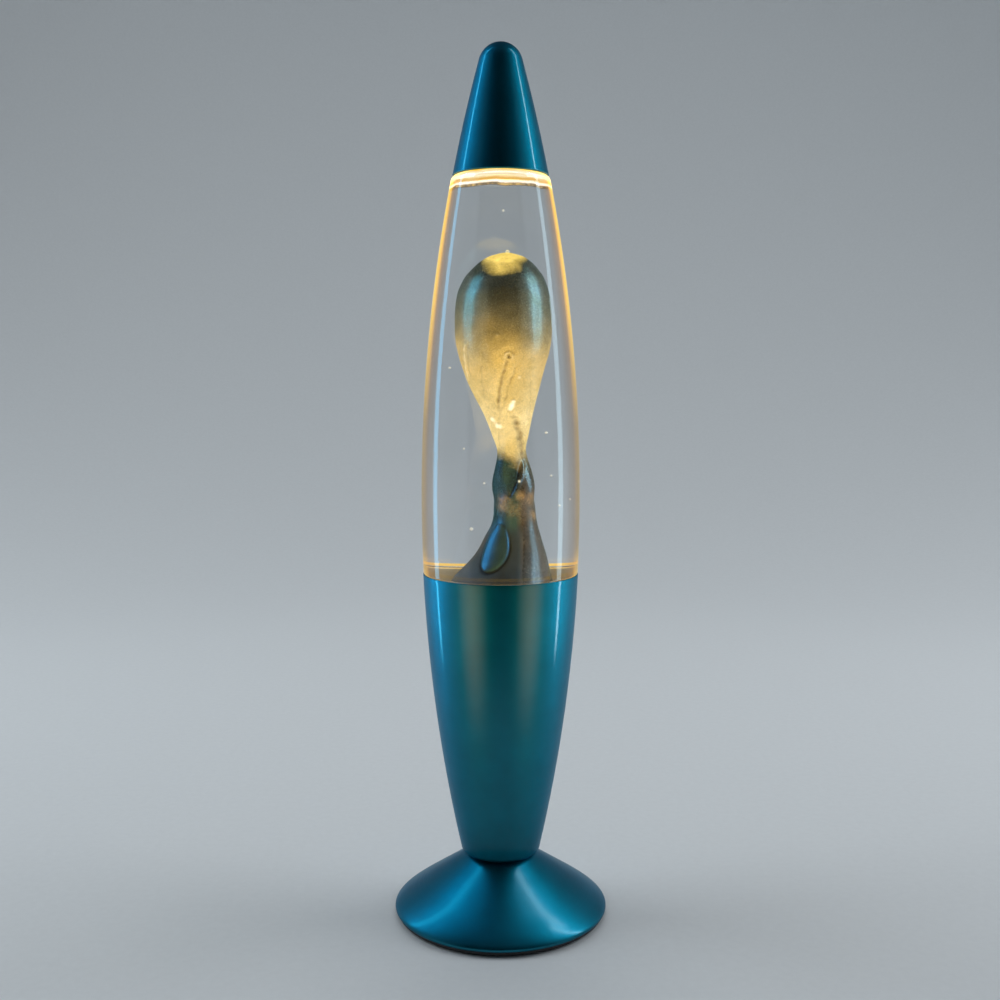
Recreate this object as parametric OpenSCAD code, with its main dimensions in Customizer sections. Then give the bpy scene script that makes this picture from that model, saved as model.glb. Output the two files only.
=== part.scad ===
// Liquid motion lamp: a foot, a deep sleeve, a loose bottle with liquid and wax, and a loose cap.
// Millimetres, Z up, origin on the table under the middle of the foot. The cord leaves at +Y.

/* [Outline] */
// Overall height of the lamp
lamp_h = 410; // [396:1:424]
// Widest diameter of the globe
globe_d = 75; // [71:0.5:82]
// Height of the globe's widest point
globe_widest_z = 200; // [190:1:212]
// Radius of the one long curve that sleeve, globe and cap share
side_curve_r = 770; // [700:5:880]
// Thickness of the spun aluminium sheet
skin = 0.8; // [0.5:0.05:1.1]

/* [Foot] */
// Widest diameter of the foot
foot_d = 102.5; // [94:0.5:116]
// Height of the foot's flat top, on which the sleeve stands
foot_h = 29.5; // [27:0.5:36]
// Radius of the foot's flat top
foot_top_r = 15.7; // [14.5:0.1:17]
// Height at which the straight cone would reach the full width
foot_corner_z = 5.5; // [4.8:0.1:7]
// How far inside the full width the cone starts to round over
foot_round_w = 12.5; // [8:0.5:15]
// Width of the hem's turned-in flange
hem_w = 8; // [7:0.25:10]
// Thickness of the pad that the lamp stands on, where it shows
pad_t = 1; // [0.7:0.1:1.6]
// Inner radius of the ring-shaped pad
pad_in_r = 28; // [22:0.5:32]
// Width of the ring-shaped pad
pad_w = 12; // [8:0.5:13]
// Thickness of the base plate
plate_t = 1.4; // [1.1:0.1:1.9]
// How far the base plate's edge stays behind the hem
plate_inset = 1.2; // [0.8:0.1:2]
// Height of the base plate's ribs and locating ring
rib_h = 2.6; // [1.8:0.1:3.4]
// Number of base screws
base_screw_count = 3; // [3:1:5]
// Shank diameter of a base screw
base_screw_d = 2.8; // [2.4:0.1:3.2]
// Length of a base screw under its head
base_screw_l = 4.5; // [4:0.25:5]

/* [Cord inlet] */
// Bore of the cord bushing, for a round lamp cord of 6 mm
cord_bore_d = 6.4; // [5.6:0.1:6.8]
// Wall of the cord bushing round its bore
bush_wall = 1.8; // [1.4:0.1:2.2]
// Height and width of the bushing's inner flange over its body
bush_flange = 1.4; // [1:0.1:1.8]

/* [Sleeve] */
// Height of the sleeve's rim, which carries the bottle
rim_z = 166.5; // [158:0.5:176]
// Radius of the rounded corner at the sleeve's lower end
sleeve_corner_r = 2.6; // [1.8:0.1:3.4]
// Thickness of the washer between foot and sleeve
washer_t = 0.6; // [0.4:0.05:1]

/* [Bottle] */
// Height of the cap's rim, which stands on the bottle's shoulder
cap_rim_z = 350.6; // [342:0.2:358]
// Thickness of the glass inside the sleeve
glass_wall = 2.4; // [1.8:0.1:3]
// Thickness of the bottle's floor at its edge
glass_floor = 6; // [5:0.25:8]
// Depth of the hollow under the bottle
punt_h = 3; // [2:0.25:3.8]
// Radius of the bottle's heel
heel_r = 4; // [2.8:0.2:5]
// Radius of the bottle's rounded shoulder
shoulder_r = 3; // [2:0.1:3.6]
// Radius of the bottle's neck
neck_r = 12.2; // [11.6:0.1:12.6]
// Bore of the bottle's neck
neck_bore_d = 16; // [14:0.25:18]
// Outer diameter of the closed crown cap
crown_d = 28.8; // [28:0.1:30]
// Height of the crown cap
crown_h = 6; // [5.4:0.1:6.8]
// Number of teeth on the crown cap
crown_teeth = 21; // [18:1:24]
// How far the liquid stays below the bottle's shoulder
liquid_drop = 5.4; // [4.8:0.2:10]

/* [Cap] */
// Radius of the cap's round tip
tip_r = 10.32; // [8:0.02:12]
// Width of the cap's turned-in rim
cap_hem_w = 2.4; // [1.6:0.1:3.2]

/* [Wax] */
// Depth of the wax pool
pool_h = 14.5; // [13:0.5:18]
// Radius of the mound where it leaves the pool
mound_r = 25; // [21:0.5:26]
// Radius of the column's waist
waist_r = 5.3; // [4:0.1:7]
// Height of the waist over the bottle's inner floor
waist_h = 87; // [78:1:94]
// How far the column leans off the axis
lean = 4.8; // [2:0.2:7]
// Radius of the drop at the top of the column
drop_r = 16.6; // [13:0.2:20]
// Height of the drop's middle over the bottle's inner floor
drop_h = 145; // [136:1:154]
// Height of the wax's highest point over the bottle's inner floor
wax_top_h = 178; // [168:1:190]

/* [Heat coil] */
// Diameter of the ring that the coil is bent into
coil_ring_d = 41; // [36:0.5:44]
// Diameter of a curl, between wire middles
coil_d = 7.6; // [6.6:0.1:8.2]
// Diameter of the coil's wire
coil_wire_d = 1; // [0.8:0.05:1.2]
// Number of curls
coil_turns = 30; // [22:1:34]

/* [Bulb and holder] */
// Diameter of the reflector bulb, R39
bulb_d = 39; // [36:0.5:41]
// Length of the bulb's glass above its screw cap
bulb_glass_l = 46; // [42:0.5:50]
// Thickness of the bulb's glass
bulb_wall = 0.7; // [0.5:0.05:0.9]
// Outer diameter of the bulb's screw cap, E14
screw_cap_d = 13.9; // [13.6:0.05:14]
// Pitch of the screw cap's thread
screw_pitch = 2.822; // [2.5:0.01:3]
// Turns that free the bulb
screw_turns = 4; // [3:1:5]
// Space left between the unscrewed bulb and the bottle
bulb_gap = 2.2; // [1.2:0.2:6]
// Outer diameter of the lampholder
holder_d = 27.6; // [26.6:0.2:29]
// Wall of the lampholder's covers
holder_wall = 2; // [1.6:0.1:2.4]
// Height of the lampholder's lower cover
holder_cover_h = 13; // [12:0.5:15]
// Height of the lampholder's skirt
holder_skirt_h = 23; // [21:0.5:25]
// Diameter of the hollow threaded stem
stem_d = 10; // [9.4:0.1:10.4]
// Bore of the stem
stem_bore_d = 7; // [6.6:0.1:7.4]
// Width of the stem's nut across its flats
nut_af = 14; // [13:0.5:16]
// Thickness of the stem's nut
nut_t = 3.5; // [2.8:0.1:4.5]
// Diameter of a lead, with its insulation
lead_d = 2; // [1.6:0.1:2.2]

/* [Fits] */
// Gap between sleeve and bottle
bottle_clear = 0.35; // [0.3:0.05:0.6]
// Gap between parts that lie one in another and don't move
clear = 0.15; // [0.1:0.05:0.25]
// Gap between a part that lifts off and its seat
seat_gap = 0.1; // [0.05:0.05:0.3]
// How far the cap stays inside the long curve
cap_inset = 0.45; // [0.2:0.05:0.8]
// Gap between the crown cap and the inside of the cap
crown_clear = 0.7; // [0.5:0.1:1.2]

/* [Hidden] */
$fn = 96;
foot_r = foot_d / 2;
globe_r = globe_d / 2;
stem_r = stem_d / 2;
stem_hole_r = stem_r + clear;

// Heights, from the table up
plate_top_z = pad_t + plate_t;
sleeve_z = foot_h + washer_t;
holder_z = sleeve_z + skin;
core_z = holder_z + holder_cover_h;
core_flange_t = 2;
core_boss_h = 3;
core_top_z = core_z + core_flange_t + core_boss_h;
skirt_z = core_z + core_flange_t;
holder_top_z = skirt_z + holder_skirt_h;
contact_rise = 2.2;
contact_gap = 0.3;
bulb_z = core_top_z + contact_rise + contact_gap;
tip_h = 1.5;
insulator_h = 3;
screw_shell_l = 14.5;
bulb_glass_z = bulb_z + tip_h + insulator_h + screw_shell_l;
bulb_top_z = bulb_glass_z + bulb_glass_l;
bulb_travel = screw_pitch * screw_turns;
bottle_z = bulb_top_z + bulb_travel + bulb_gap;
floor_z = bottle_z + glass_floor;
shoulder_z = cap_rim_z - seat_gap;
liquid_z = shoulder_z - liquid_drop;
pool_z = floor_z + pool_h;

// Insets from the long curve
bottle_inset = skin + bottle_clear;
flush_inset = 0.15;
inner_inset = bottle_inset + glass_wall;

// The long curve: radius at height z of the arc that lies inset inside it
function side_r(z, inset) =
    globe_r - side_curve_r + sqrt((side_curve_r - inset) ^ 2 - (z - globe_widest_z) ^ 2);
function side_points(z0, z1, inset, steps) =
    [for (i = [0 : steps]) let (z = z0 + (z1 - z0) * i / steps) [side_r(z, inset), z]];
// Middle and end angle of a rounding of radius c whose middle lies at height z
function round_mid(z, inset, c) = [side_r(z, inset + c), z];
function round_angle(z, inset, c) = asin((z - globe_widest_z) / (side_curve_r - inset - c));
function arc_points(mid, r, a0, a1, steps) =
    [for (i = [0 : steps]) let (a = a0 + (a1 - a0) * i / steps) mid + r * [cos(a), sin(a)]];
function reversed(list) = [for (i = [len(list) - 1 : -1 : 0]) list[i]];
function unit(v) = v / norm(v);

// A path of r and z moved to its right by t, with mitred corners
function right_of(d) = [d[1], -d[0]];
function inset_path(path, t) = [for (i = [0 : len(path) - 1])
    let (
        a = path[max(i - 1, 0)],
        b = path[min(i + 1, len(path) - 1)],
        n0 = right_of(unit(i > 0 ? path[i] - a : b - path[i])),
        n1 = right_of(unit(i < len(path) - 1 ? b - path[i] : path[i] - a))
    )
    path[i] + (n0 + n1) * t / (1 + n0 * n1)];

module turned(points) {
    rotate_extrude()
        polygon(points);
}

module ring(in_r, out_r, z, h) {
    translate([0, 0, z])
        difference() {
            cylinder(r = out_r, h = h);
            translate([0, 0, -1])
                cylinder(r = in_r, h = h + 2);
        }
}

// Triangles between rings of points, each ring counter-clockwise seen from the path's far end
module loft(rings) {
    n = len(rings[0]);
    m = len(rings);
    last = (m - 1) * n;
    sides = [for (j = [0 : m - 2], i = [0 : n - 1])
        let (a = j * n + i, b = j * n + (i + 1) % n)
        each [[a, a + n, b], [b, a + n, b + n]]];
    low_end = [for (i = [1 : n - 2]) [0, i, i + 1]];
    high_end = [for (i = [1 : n - 2]) [last, last + i + 1, last + i]];
    polyhedron([for (r = rings) each r], concat(low_end, sides, high_end));
}

// A round tube along a path, with one reference direction per point that is never along the path
function tube_rings(path, refs, r, sides) = [for (i = [0 : len(path) - 1])
    let (
        t = unit(path[min(i + 1, len(path) - 1)] - path[max(i - 1, 0)]),
        u = unit(cross(refs[i], t)),
        v = cross(t, u)
    )
    [for (k = [0 : sides - 1]) let (a = 360 * k / sides) path[i] + r * (u * cos(a) + v * sin(a))]];

// A smooth value between stations p[i] and p[i + 1]
function between(p, i, t) =
    let (
        a = p[max(i - 1, 0)],
        b = p[i],
        c = p[i + 1],
        d = p[min(i + 2, len(p) - 1)]
    )
    b + 0.5 * t * ((c - a) + t * (2 * a - 5 * b + 4 * c - d + t * (3 * (b - c) + d - a)));
function smooth(p, steps) = concat(
    [for (i = [0 : len(p) - 2], k = [0 : steps - 1]) between(p, i, k / steps)],
    [p[len(p) - 1]]);

// Foot

hem_flange_r = foot_r - hem_w;
foot_slope = (foot_h - foot_corner_z) / (foot_r - foot_top_r);
foot_round_r = foot_r - foot_round_w;
function foot_cone_z(r) = foot_h - foot_slope * (r - foot_top_r);
// The cone rounds over into the hem along one parabola
foot_curve = [for (i = [0 : 12])
    let (
        t = i / 12,
        a = [foot_round_r, foot_cone_z(foot_round_r)],
        b = [foot_r, foot_corner_z],
        c = [foot_r, plate_top_z + skin + 0.5]
    )
    a * (1 - t) ^ 2 + b * 2 * t * (1 - t) + c * t ^ 2];
foot_path = concat(
    [[stem_hole_r, foot_h], [foot_top_r, foot_h]],
    foot_curve,
    [[foot_r, plate_top_z], [hem_flange_r, plate_top_z]]);
base_screw_r = foot_r - hem_w * 0.62;
base_screw_turn = 180 / base_screw_count;

module at_base_screws() {
    for (i = [0 : base_screw_count - 1])
        rotate([0, 0, 90 + base_screw_turn + i * 360 / base_screw_count])
            translate([base_screw_r, 0, 0])
                children();
}

module foot() {
    color("#0a6f97")
        difference() {
            turned(concat(foot_path, reversed(inset_path(foot_path, skin))));
            bush_notch();
            at_base_screws()
                cylinder(d = base_screw_d + 2 * clear, h = plate_top_z + 2 * skin);
        }
}

// Cord bushing: an arched block that stands on the base plate in a notch of the foot

bush_r = cord_bore_d / 2 + bush_wall;
bush_mid_z = plate_top_z + bush_r;
bush_flange_t = 2;
bush_top_z = bush_mid_z + bush_r + bush_flange;
// The flange lies where the cone is just high enough for it
bush_in_y = foot_top_r + (foot_h - 1.4 * skin - bush_top_z - 1) / foot_slope;

module arch(grow) {
    w = bush_r + grow;
    intersection() {
        union() {
            circle(r = w);
            translate([-w, -w])
                square([2 * w, w]);
        }
        translate([-w, -bush_r])
            square([2 * w, bush_r + w]);
    }
}

module along_cord(y0, y1) {
    translate([0, y1, bush_mid_z])
        rotate([90, 0, 0])
            linear_extrude(y1 - y0)
                children();
}

module bush_notch() {
    along_cord(bush_in_y, foot_r + 1) {
        arch(clear);
        translate([-bush_r - clear, -bush_r - 1])
            square([2 * (bush_r + clear), 2]);
    }
}

module cord_bushing() {
    color("#18191b")
        difference() {
            union() {
                along_cord(bush_in_y, foot_r)
                    arch(0);
                along_cord(bush_in_y - bush_flange_t, bush_in_y)
                    arch(bush_flange);
            }
            along_cord(bush_in_y - bush_flange_t - 1, foot_r + 1)
                circle(d = cord_bore_d);
        }
}

// Base plate, pad and screws

plate_r = foot_r - plate_inset;
spigot_r = hem_flange_r - clear;
spigot_t = 1.4;
rib_count = 6;
rib_t = 1.2;
screw_head_r = 2.7;
pad_sink = 0.4;
pad_out_r = pad_in_r + pad_w;

// Angle that the locating ring leaves free on each side of the bushing
spigot_gap = asin((bush_r + bush_flange + 1) / (spigot_r - spigot_t));
rib_sink = 0.4;
rib_in_r = 12;

module base_plate() {
    color("#131416")
        difference() {
            union() {
                turned([
                    [0, pad_t],
                    [pad_in_r - clear, pad_t],
                    [pad_in_r - clear, pad_t + pad_sink],
                    [pad_out_r + clear, pad_t + pad_sink],
                    [pad_out_r + clear, pad_t],
                    [plate_r, pad_t],
                    [plate_r, plate_top_z],
                    [0, plate_top_z],
                ]);
                rotate([0, 0, 90 + spigot_gap])
                    rotate_extrude(angle = 360 - 2 * spigot_gap)
                        translate([spigot_r - spigot_t, plate_top_z - rib_sink])
                            square([spigot_t, rib_h + rib_sink]);
                for (i = [0 : rib_count - 1])
                    rotate([0, 0, 270 + (i - (rib_count - 1) / 2) * 36])
                        translate([rib_in_r, -rib_t / 2, plate_top_z - rib_sink])
                            cube([spigot_r - spigot_t / 2 - rib_in_r, rib_t, rib_h]);
            }
            at_base_screws()
                base_screw(clear);
        }
}

module base_pad() {
    color("#1e1e1f")
        ring(pad_in_r, pad_out_r, 0, pad_t + pad_sink);
}

// One countersunk screw, its head flush with the plate's underside
module base_screw(grow) {
    shank_r = base_screw_d / 2 + grow;
    translate([0, 0, pad_t - grow])
        turned([
            [0, 0],
            [screw_head_r + grow, 0],
            [screw_head_r + grow, 0.2 + grow],
            [shank_r, plate_t * 0.8 + grow],
            [shank_r, base_screw_l + grow],
            [0, base_screw_l + grow],
        ]);
}

module base_screws() {
    color("#8d8f92")
        at_base_screws()
            difference() {
                base_screw(0);
                translate([0, 0, pad_t]) {
                    cube([2.6, 0.7, 1.2], center = true);
                    cube([0.7, 2.6, 1.2], center = true);
                }
            }
}

// Stem: a hollow threaded tube that clamps holder, sleeve, washer and foot

stem_down = 9.5;
stem_up = 5;
tooth_washer_t = 0.8;
tooth_washer_r = 8.6;
stem_z = foot_h - skin - stem_down;
nut_z = foot_h - skin - tooth_washer_t - nut_t;

module stem() {
    color("#b9a15a")
        ring(stem_bore_d / 2, stem_r, stem_z, holder_z + stem_up - stem_z);
}

module stem_nut() {
    color("#a9abad")
        difference() {
            translate([0, 0, nut_z])
                cylinder(d = nut_af / cos(30), h = nut_t, $fn = 6);
            translate([0, 0, nut_z - 1])
                cylinder(r = stem_hole_r, h = nut_t + 2);
        }
}

module tooth_washer() {
    color("#9fa1a3")
        difference() {
            ring(stem_hole_r, tooth_washer_r, nut_z + nut_t, tooth_washer_t);
            for (i = [0 : 11])
                rotate([0, 0, i * 30])
                    translate([tooth_washer_r - 1.6, -0.6, nut_z])
                        cube([3, 1.2, nut_t + tooth_washer_t + 1]);
        }
}

module neck_washer() {
    color("#101010")
        ring(stem_hole_r, foot_top_r - 0.5, foot_h, washer_t);
}

// Sleeve: a deep cup on the long curve, with a small rounded lower corner

sleeve_round_z = sleeve_z + sleeve_corner_r;
sleeve_mid = round_mid(sleeve_round_z, 0, sleeve_corner_r);
sleeve_angle = round_angle(sleeve_round_z, 0, sleeve_corner_r);
sleeve_side_z = sleeve_mid[1] + sleeve_corner_r * sin(sleeve_angle);

function sleeve_path(t) = concat(
    [[stem_hole_r, sleeve_z + t]],
    arc_points(sleeve_mid, sleeve_corner_r - t, -90, sleeve_angle, 6),
    [for (i = [1 : 28])
        let (z = sleeve_side_z + (rim_z - sleeve_side_z) * i / 28) [side_r(z, t), z]]);

module sleeve() {
    color("#0a7ba6")
        turned(concat(sleeve_path(0), reversed(sleeve_path(skin))));
}

// Lampholder: lower cover, core with push-in terminals, skirt, threaded shell, middle contact

holder_r = holder_d / 2;
cover_in_r = holder_r - holder_wall;
cover_floor = 5;
cover_slope_w = 4;
cover_slope_h = 6;
core_sink = 3;
terminal_depth = 5;
core_r = cover_in_r - clear;
lead_gap = 1.4;
terminal_x = 5.4;
shell_t = 0.4;
shell_in_r = screw_cap_d / 2 + 0.4;
shell_out_r = shell_in_r + shell_t;
lip_t = 2;

module holder_cover() {
    color("#1c1b1a")
        turned([
            [stem_hole_r, holder_z],
            [holder_r - cover_slope_w, holder_z],
            [holder_r, holder_z + cover_slope_h],
            [holder_r, core_z],
            [cover_in_r, core_z],
            [cover_in_r, holder_z + cover_slope_h + holder_wall / 2],
            [cover_in_r - cover_slope_w + holder_wall / 2, holder_z + cover_floor],
            [stem_hole_r, holder_z + cover_floor],
        ]);
}

module holder_core() {
    color("#e6e1d4")
        difference() {
            union() {
                translate([0, 0, core_z - core_sink])
                    cylinder(r = core_r, h = core_top_z - core_z + core_sink);
                translate([0, 0, core_z])
                    cylinder(r = holder_r, h = core_flange_t);
            }
            for (x = [-terminal_x, terminal_x])
                translate([x, 0, core_z - core_sink - 1])
                    cylinder(d = lead_d + 2 * clear, h = terminal_depth + 1);
        }
}

module holder_skirt() {
    color("#1c1b1a")
        turned([
            [cover_in_r, skirt_z],
            [holder_r, skirt_z],
            [holder_r - 0.6, holder_top_z - 1],
            [holder_r - 1.6, holder_top_z],
            [shell_out_r + 0.6, holder_top_z],
            [shell_out_r + 0.6, holder_top_z - lip_t],
            [cover_in_r - 0.6, holder_top_z - lip_t],
        ]);
}

module screw_shell() {
    color("#c9a24a")
        turned([
            [shell_in_r - 1.6, core_top_z],
            [shell_out_r + 1.4, core_top_z],
            [shell_out_r + 1.4, core_top_z + shell_t],
            [shell_out_r, core_top_z + shell_t],
            [shell_out_r, holder_top_z - 1],
            [shell_in_r, holder_top_z - 1],
            [shell_in_r, core_top_z + shell_t],
            [shell_in_r - 1.6, core_top_z + shell_t],
        ]);
}

// A bent spring strip that ends under the bulb's contact
module middle_contact() {
    strip = [
        [-4.6, 0],
        [-2.6, 0],
        [-0.8, contact_rise - shell_t],
        [1.2, contact_rise - shell_t],
        [2.4, contact_rise - 1.2],
    ];
    color("#c9a24a")
        translate([0, 1.5, core_top_z])
            rotate([90, 0, 0])
                linear_extrude(3)
                    polygon(concat(strip, reversed(inset_path(strip, -shell_t))));
}

// Terminal block on the base plate, and the two leads up through the stem

block_l = 20;
block_w = 14;
block_h = 10.5;
block_y = 21;
block_hole_z = plate_top_z + 4.4;
block_x = 5;

module terminal_block() {
    color("#d8d4c8")
        difference() {
            translate([-block_l / 2, block_y - block_w / 2, plate_top_z])
                cube([block_l, block_w, block_h]);
            for (x = [-block_x, block_x]) {
                translate([x, block_y + block_w, block_hole_z])
                    rotate([90, 0, 0])
                        cylinder(d = lead_d + 1.6, h = 2 * block_w);
                for (y = [-3.6, 3.6])
                    translate([x, block_y + y, block_hole_z])
                        cylinder(r = 1.7, h = block_h);
            }
            translate([0, block_y, 0])
                cylinder(r = 1.5, h = 3 * block_h);
        }
}

module block_screws() {
    color("#8d8f92") {
        for (x = [-block_x, block_x], y = [-3.6, 3.6])
            translate([x, block_y + y, block_hole_z + lead_d / 2 + clear])
                difference() {
                    cylinder(r = 1.5, h = 4);
                    translate([0, 0, 4])
                        cube([0.6, 4, 1.6], center = true);
                }
        translate([0, block_y, plate_top_z + clear])
            cylinder(r = 1.3, h = block_h - 2);
        translate([0, block_y, plate_top_z + block_h + clear - 2])
            cylinder(r = 1.4, h = 3);
    }
}

// From the block, round under the stem, up its bore and out to the core's terminal
module lead(side) {
    stops = [
        [block_x, block_y - 1, block_hole_z],
        [block_x, block_y - block_w / 2, block_hole_z],
        [block_x * 0.7, block_y * 0.38, block_hole_z + 0.6],
        [lead_gap, block_y * 0.1, block_hole_z + 5],
        [lead_gap, 0, stem_z - 1],
        [lead_gap, 0, stem_z + 5],
        [lead_gap, 0, holder_z + stem_up],
        [terminal_x * 0.72, 0, core_z - core_sink - 2.5],
        [terminal_x, 0, core_z - core_sink],
        [terminal_x, 0, core_z - core_sink + terminal_depth - 0.5],
    ];
    path = smooth([for (p = stops) [side * p[0], p[1], p[2]]], 4);
    loft(tube_rings(path, [for (p = path) [1, 0, 0]], lead_d / 2, 8));
}

module live_lead() {
    color("#7a4a2b")
        lead(-1);
}

module neutral_lead() {
    color("#2f62a8")
        lead(1);
}

// Bulb

screw_cap_r = screw_cap_d / 2;
bulb_r = bulb_d / 2;
bulb_neck_r = 8.2;
bulb_front_h = bulb_glass_l * 0.28;
insulator_z = bulb_z + tip_h;
screw_z = insulator_z + insulator_h;

// The reflector widens along a parabola and the front is a flat dome
function bulb_path(t) = concat(
    [[screw_cap_r - 1.2 - t, bulb_glass_z + t]],
    [for (i = [0 : 14])
        let (u = i / 14, z = bulb_glass_z + 3 + (bulb_glass_l - bulb_front_h - 3) * u ^ 1.35)
        [bulb_neck_r + (bulb_r - bulb_neck_r) * sin(90 * u) - t, z]],
    [for (i = [1 : 10])
        let (a = 90 * i / 10)
        [(bulb_r - t) * cos(a), bulb_top_z - bulb_front_h + (bulb_front_h - t) * sin(a)]]);

module bulb_glass() {
    outer = bulb_path(0);
    inner = bulb_path(bulb_wall);
    color("#f6ead0")
        turned(concat(outer, reversed(inner)));
}

module bulb_screw_cap() {
    color("#b8b9b4")
        turned([
            [screw_cap_r - 1.2, screw_z],
            [screw_cap_r - 0.5, screw_z],
            [screw_cap_r, screw_z + 1],
            [screw_cap_r, bulb_glass_z - 1],
            [screw_cap_r - 0.3, bulb_glass_z],
            [screw_cap_r - 1.2 - bulb_wall, bulb_glass_z],
            [screw_cap_r - 1.2 - bulb_wall, bulb_glass_z - 0.5],
            [screw_cap_r - 0.6, bulb_glass_z - 1.2],
            [screw_cap_r - 0.6, screw_z + 1.2],
        ]);
}

module bulb_insulator() {
    color("#1a1a1c")
        turned([
            [0, insulator_z],
            [2.6, insulator_z],
            [screw_cap_r - 1.2, screw_z],
            [screw_cap_r - 0.65, screw_z + 1.2],
            [screw_cap_r - 0.65, screw_z + 2.4],
            [0, screw_z + 2.4],
        ]);
}

module bulb_contact() {
    color("#c4c6c2")
        turned([
            [0, bulb_z],
            [1.4, bulb_z],
            [2.4, bulb_z + 0.7],
            [2.4, insulator_z],
            [0, insulator_z],
        ]);
}

stem_glass_h = 13;
support_l = 9;
filament_r = 4.4;
filament_z = bulb_glass_z + stem_glass_h + support_l;

module bulb_stem() {
    color("#dfe8ea") {
        turned([
            [0, screw_z + 2.4],
            [screw_cap_r - 2.2, screw_z + 2.4],
            [screw_cap_r - 2.4, bulb_glass_z + 2],
            [2.2, bulb_glass_z + 7],
            [2.2, bulb_glass_z + stem_glass_h],
            [0, bulb_glass_z + stem_glass_h],
        ]);
    }
}

// Two support wires and the bent filament between them, one piece
module bulb_filament() {
    wire_r = 0.4;
    color("#ffd98a") {
        for (side = [-1, 1])
            translate([side * 1.4, 0, bulb_glass_z + stem_glass_h + clear])
                rotate([0, side * atan((filament_r - 1.4) / support_l), 0])
                    cylinder(r = wire_r, h = norm([filament_r - 1.4, support_l]));
        translate([0, 0, filament_z])
            rotate_extrude(angle = 180)
                translate([filament_r, 0])
                    circle(r = wire_r + 0.1);
    }
}

// The cap's side leaves the rim along the long curve and touches the ball of its tip, whose top is
// the lamp's full height, so one arc of its own carries on that curve
cap_foot = [side_r(cap_rim_z, cap_inset), cap_rim_z];
cap_tilt = asin((cap_rim_z - globe_widest_z) / (side_curve_r - cap_inset));
cap_normal = [cos(cap_tilt), sin(cap_tilt)];
tip_mid = [0, lamp_h - tip_r];
cap_reach = cap_foot - tip_mid;
cap_curve_r = (cap_reach * cap_reach - tip_r ^ 2) / (2 * (cap_normal * cap_reach - tip_r));
cap_mid = cap_foot - cap_curve_r * cap_normal;
tip_dir = sign(cap_curve_r) * (tip_mid - cap_mid);
tip_angle = atan2(tip_dir[1], tip_dir[0]);

// Bottle: heel and punt below, a ledge that stands on the sleeve's rim, a round shoulder, a neck

heel_z = bottle_z + heel_r;
heel_mid = round_mid(heel_z, bottle_inset, heel_r);
heel_angle = round_angle(heel_z, bottle_inset, heel_r);
ledge_z = rim_z + seat_gap;
shoulder_mid = round_mid(shoulder_z - shoulder_r, flush_inset, shoulder_r);
shoulder_angle = round_angle(shoulder_z - shoulder_r, flush_inset, shoulder_r);
ceiling_t = 3.4;
ceiling_r = 4;
ceiling_z = shoulder_z - ceiling_t;
ceiling_mid = round_mid(ceiling_z - ceiling_r, inner_inset, ceiling_r);
ceiling_angle = round_angle(ceiling_z - ceiling_r, inner_inset, ceiling_r);
inner_corner_r = 3;
inner_mid = round_mid(floor_z + inner_corner_r, inner_inset, inner_corner_r);
inner_angle = round_angle(floor_z + inner_corner_r, inner_inset, inner_corner_r);

// The crown's upper edge lies just inside the cap
crown_r = crown_d / 2;
crown_top_z = cap_mid[1] + sign(cap_curve_r)
    * sqrt((cap_curve_r - skin) ^ 2 - (crown_r + crown_clear - cap_mid[0]) ^ 2);
crown_t = 0.5;
liner_t = 0.6;
mouth_z = crown_top_z - crown_t - liner_t;
bead_r = crown_r - crown_t - clear - 0.8;
bead_h = 4.4;
lid_r = crown_r - 1.1;

bottle_outside = concat(
    [for (i = [0 : 8])
        let (u = i / 8) [heel_mid[0] * u, bottle_z + punt_h * (1 - u ^ 2)]],
    arc_points(heel_mid, heel_r, -84, heel_angle, 6),
    side_points(heel_mid[1] + heel_r * sin(heel_angle) + 1, ledge_z, bottle_inset, 8),
    side_points(ledge_z, shoulder_mid[1] + shoulder_r * sin(shoulder_angle) - 1, flush_inset, 36),
    arc_points(shoulder_mid, shoulder_r, shoulder_angle, 90, 7),
    arc_points([neck_r + 2, shoulder_z + 2], 2, 270, 180, 4),
    [
        [neck_r, mouth_z - bead_h - 1],
        [bead_r, mouth_z - bead_h],
        [bead_r, mouth_z - 1.2],
        [bead_r - 1.2, mouth_z],
    ]);
bottle_inside = concat(
    [[neck_bore_d / 2, mouth_z], [neck_bore_d / 2, ceiling_z + 1], [neck_bore_d / 2 + 1, ceiling_z]],
    arc_points(ceiling_mid, ceiling_r, 90, ceiling_angle, 6),
    reversed(side_points(
        inner_mid[1] + inner_corner_r * sin(inner_angle) + 1,
        ceiling_mid[1] + ceiling_r * sin(ceiling_angle) - 1,
        inner_inset, 40)),
    arc_points(inner_mid, inner_corner_r, inner_angle, -90, 5),
    [[0, floor_z]]);

module bottle() {
    color("#d9e4e6", 0.35)
        turned(concat(bottle_outside, bottle_inside));
}

module crown_liner() {
    color("#e9e5da")
        translate([0, 0, mouth_z])
            cylinder(r = lid_r - crown_t - clear, h = liner_t);
}

// A pressed lid whose skirt is crimped into teeth
module crown_cap() {
    color("#c3a14e")
        difference() {
            turned([
                [0, crown_top_z - crown_t],
                [lid_r - crown_t, crown_top_z - crown_t],
                [bead_r + clear, crown_top_z - 2],
                [bead_r + clear + 0.6, crown_top_z - crown_h],
                [crown_r, crown_top_z - crown_h],
                [lid_r + 0.3, crown_top_z - 1.2],
                [lid_r - 0.9, crown_top_z],
                [0, crown_top_z],
            ]);
            for (i = [0 : crown_teeth - 1])
                rotate([0, 0, (i + 0.5) * 360 / crown_teeth])
                    translate([crown_r + 0.45, 0, crown_top_z - crown_h - 1])
                        cylinder(r = 1.1, h = crown_h - 0.6, $fn = 16);
        }
}

// Wax: a flat pool, a mound, a leaning column with a waist, and a drop at the top

wax_gap = 0.15;
pool_inset = inner_inset + wax_gap;

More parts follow.
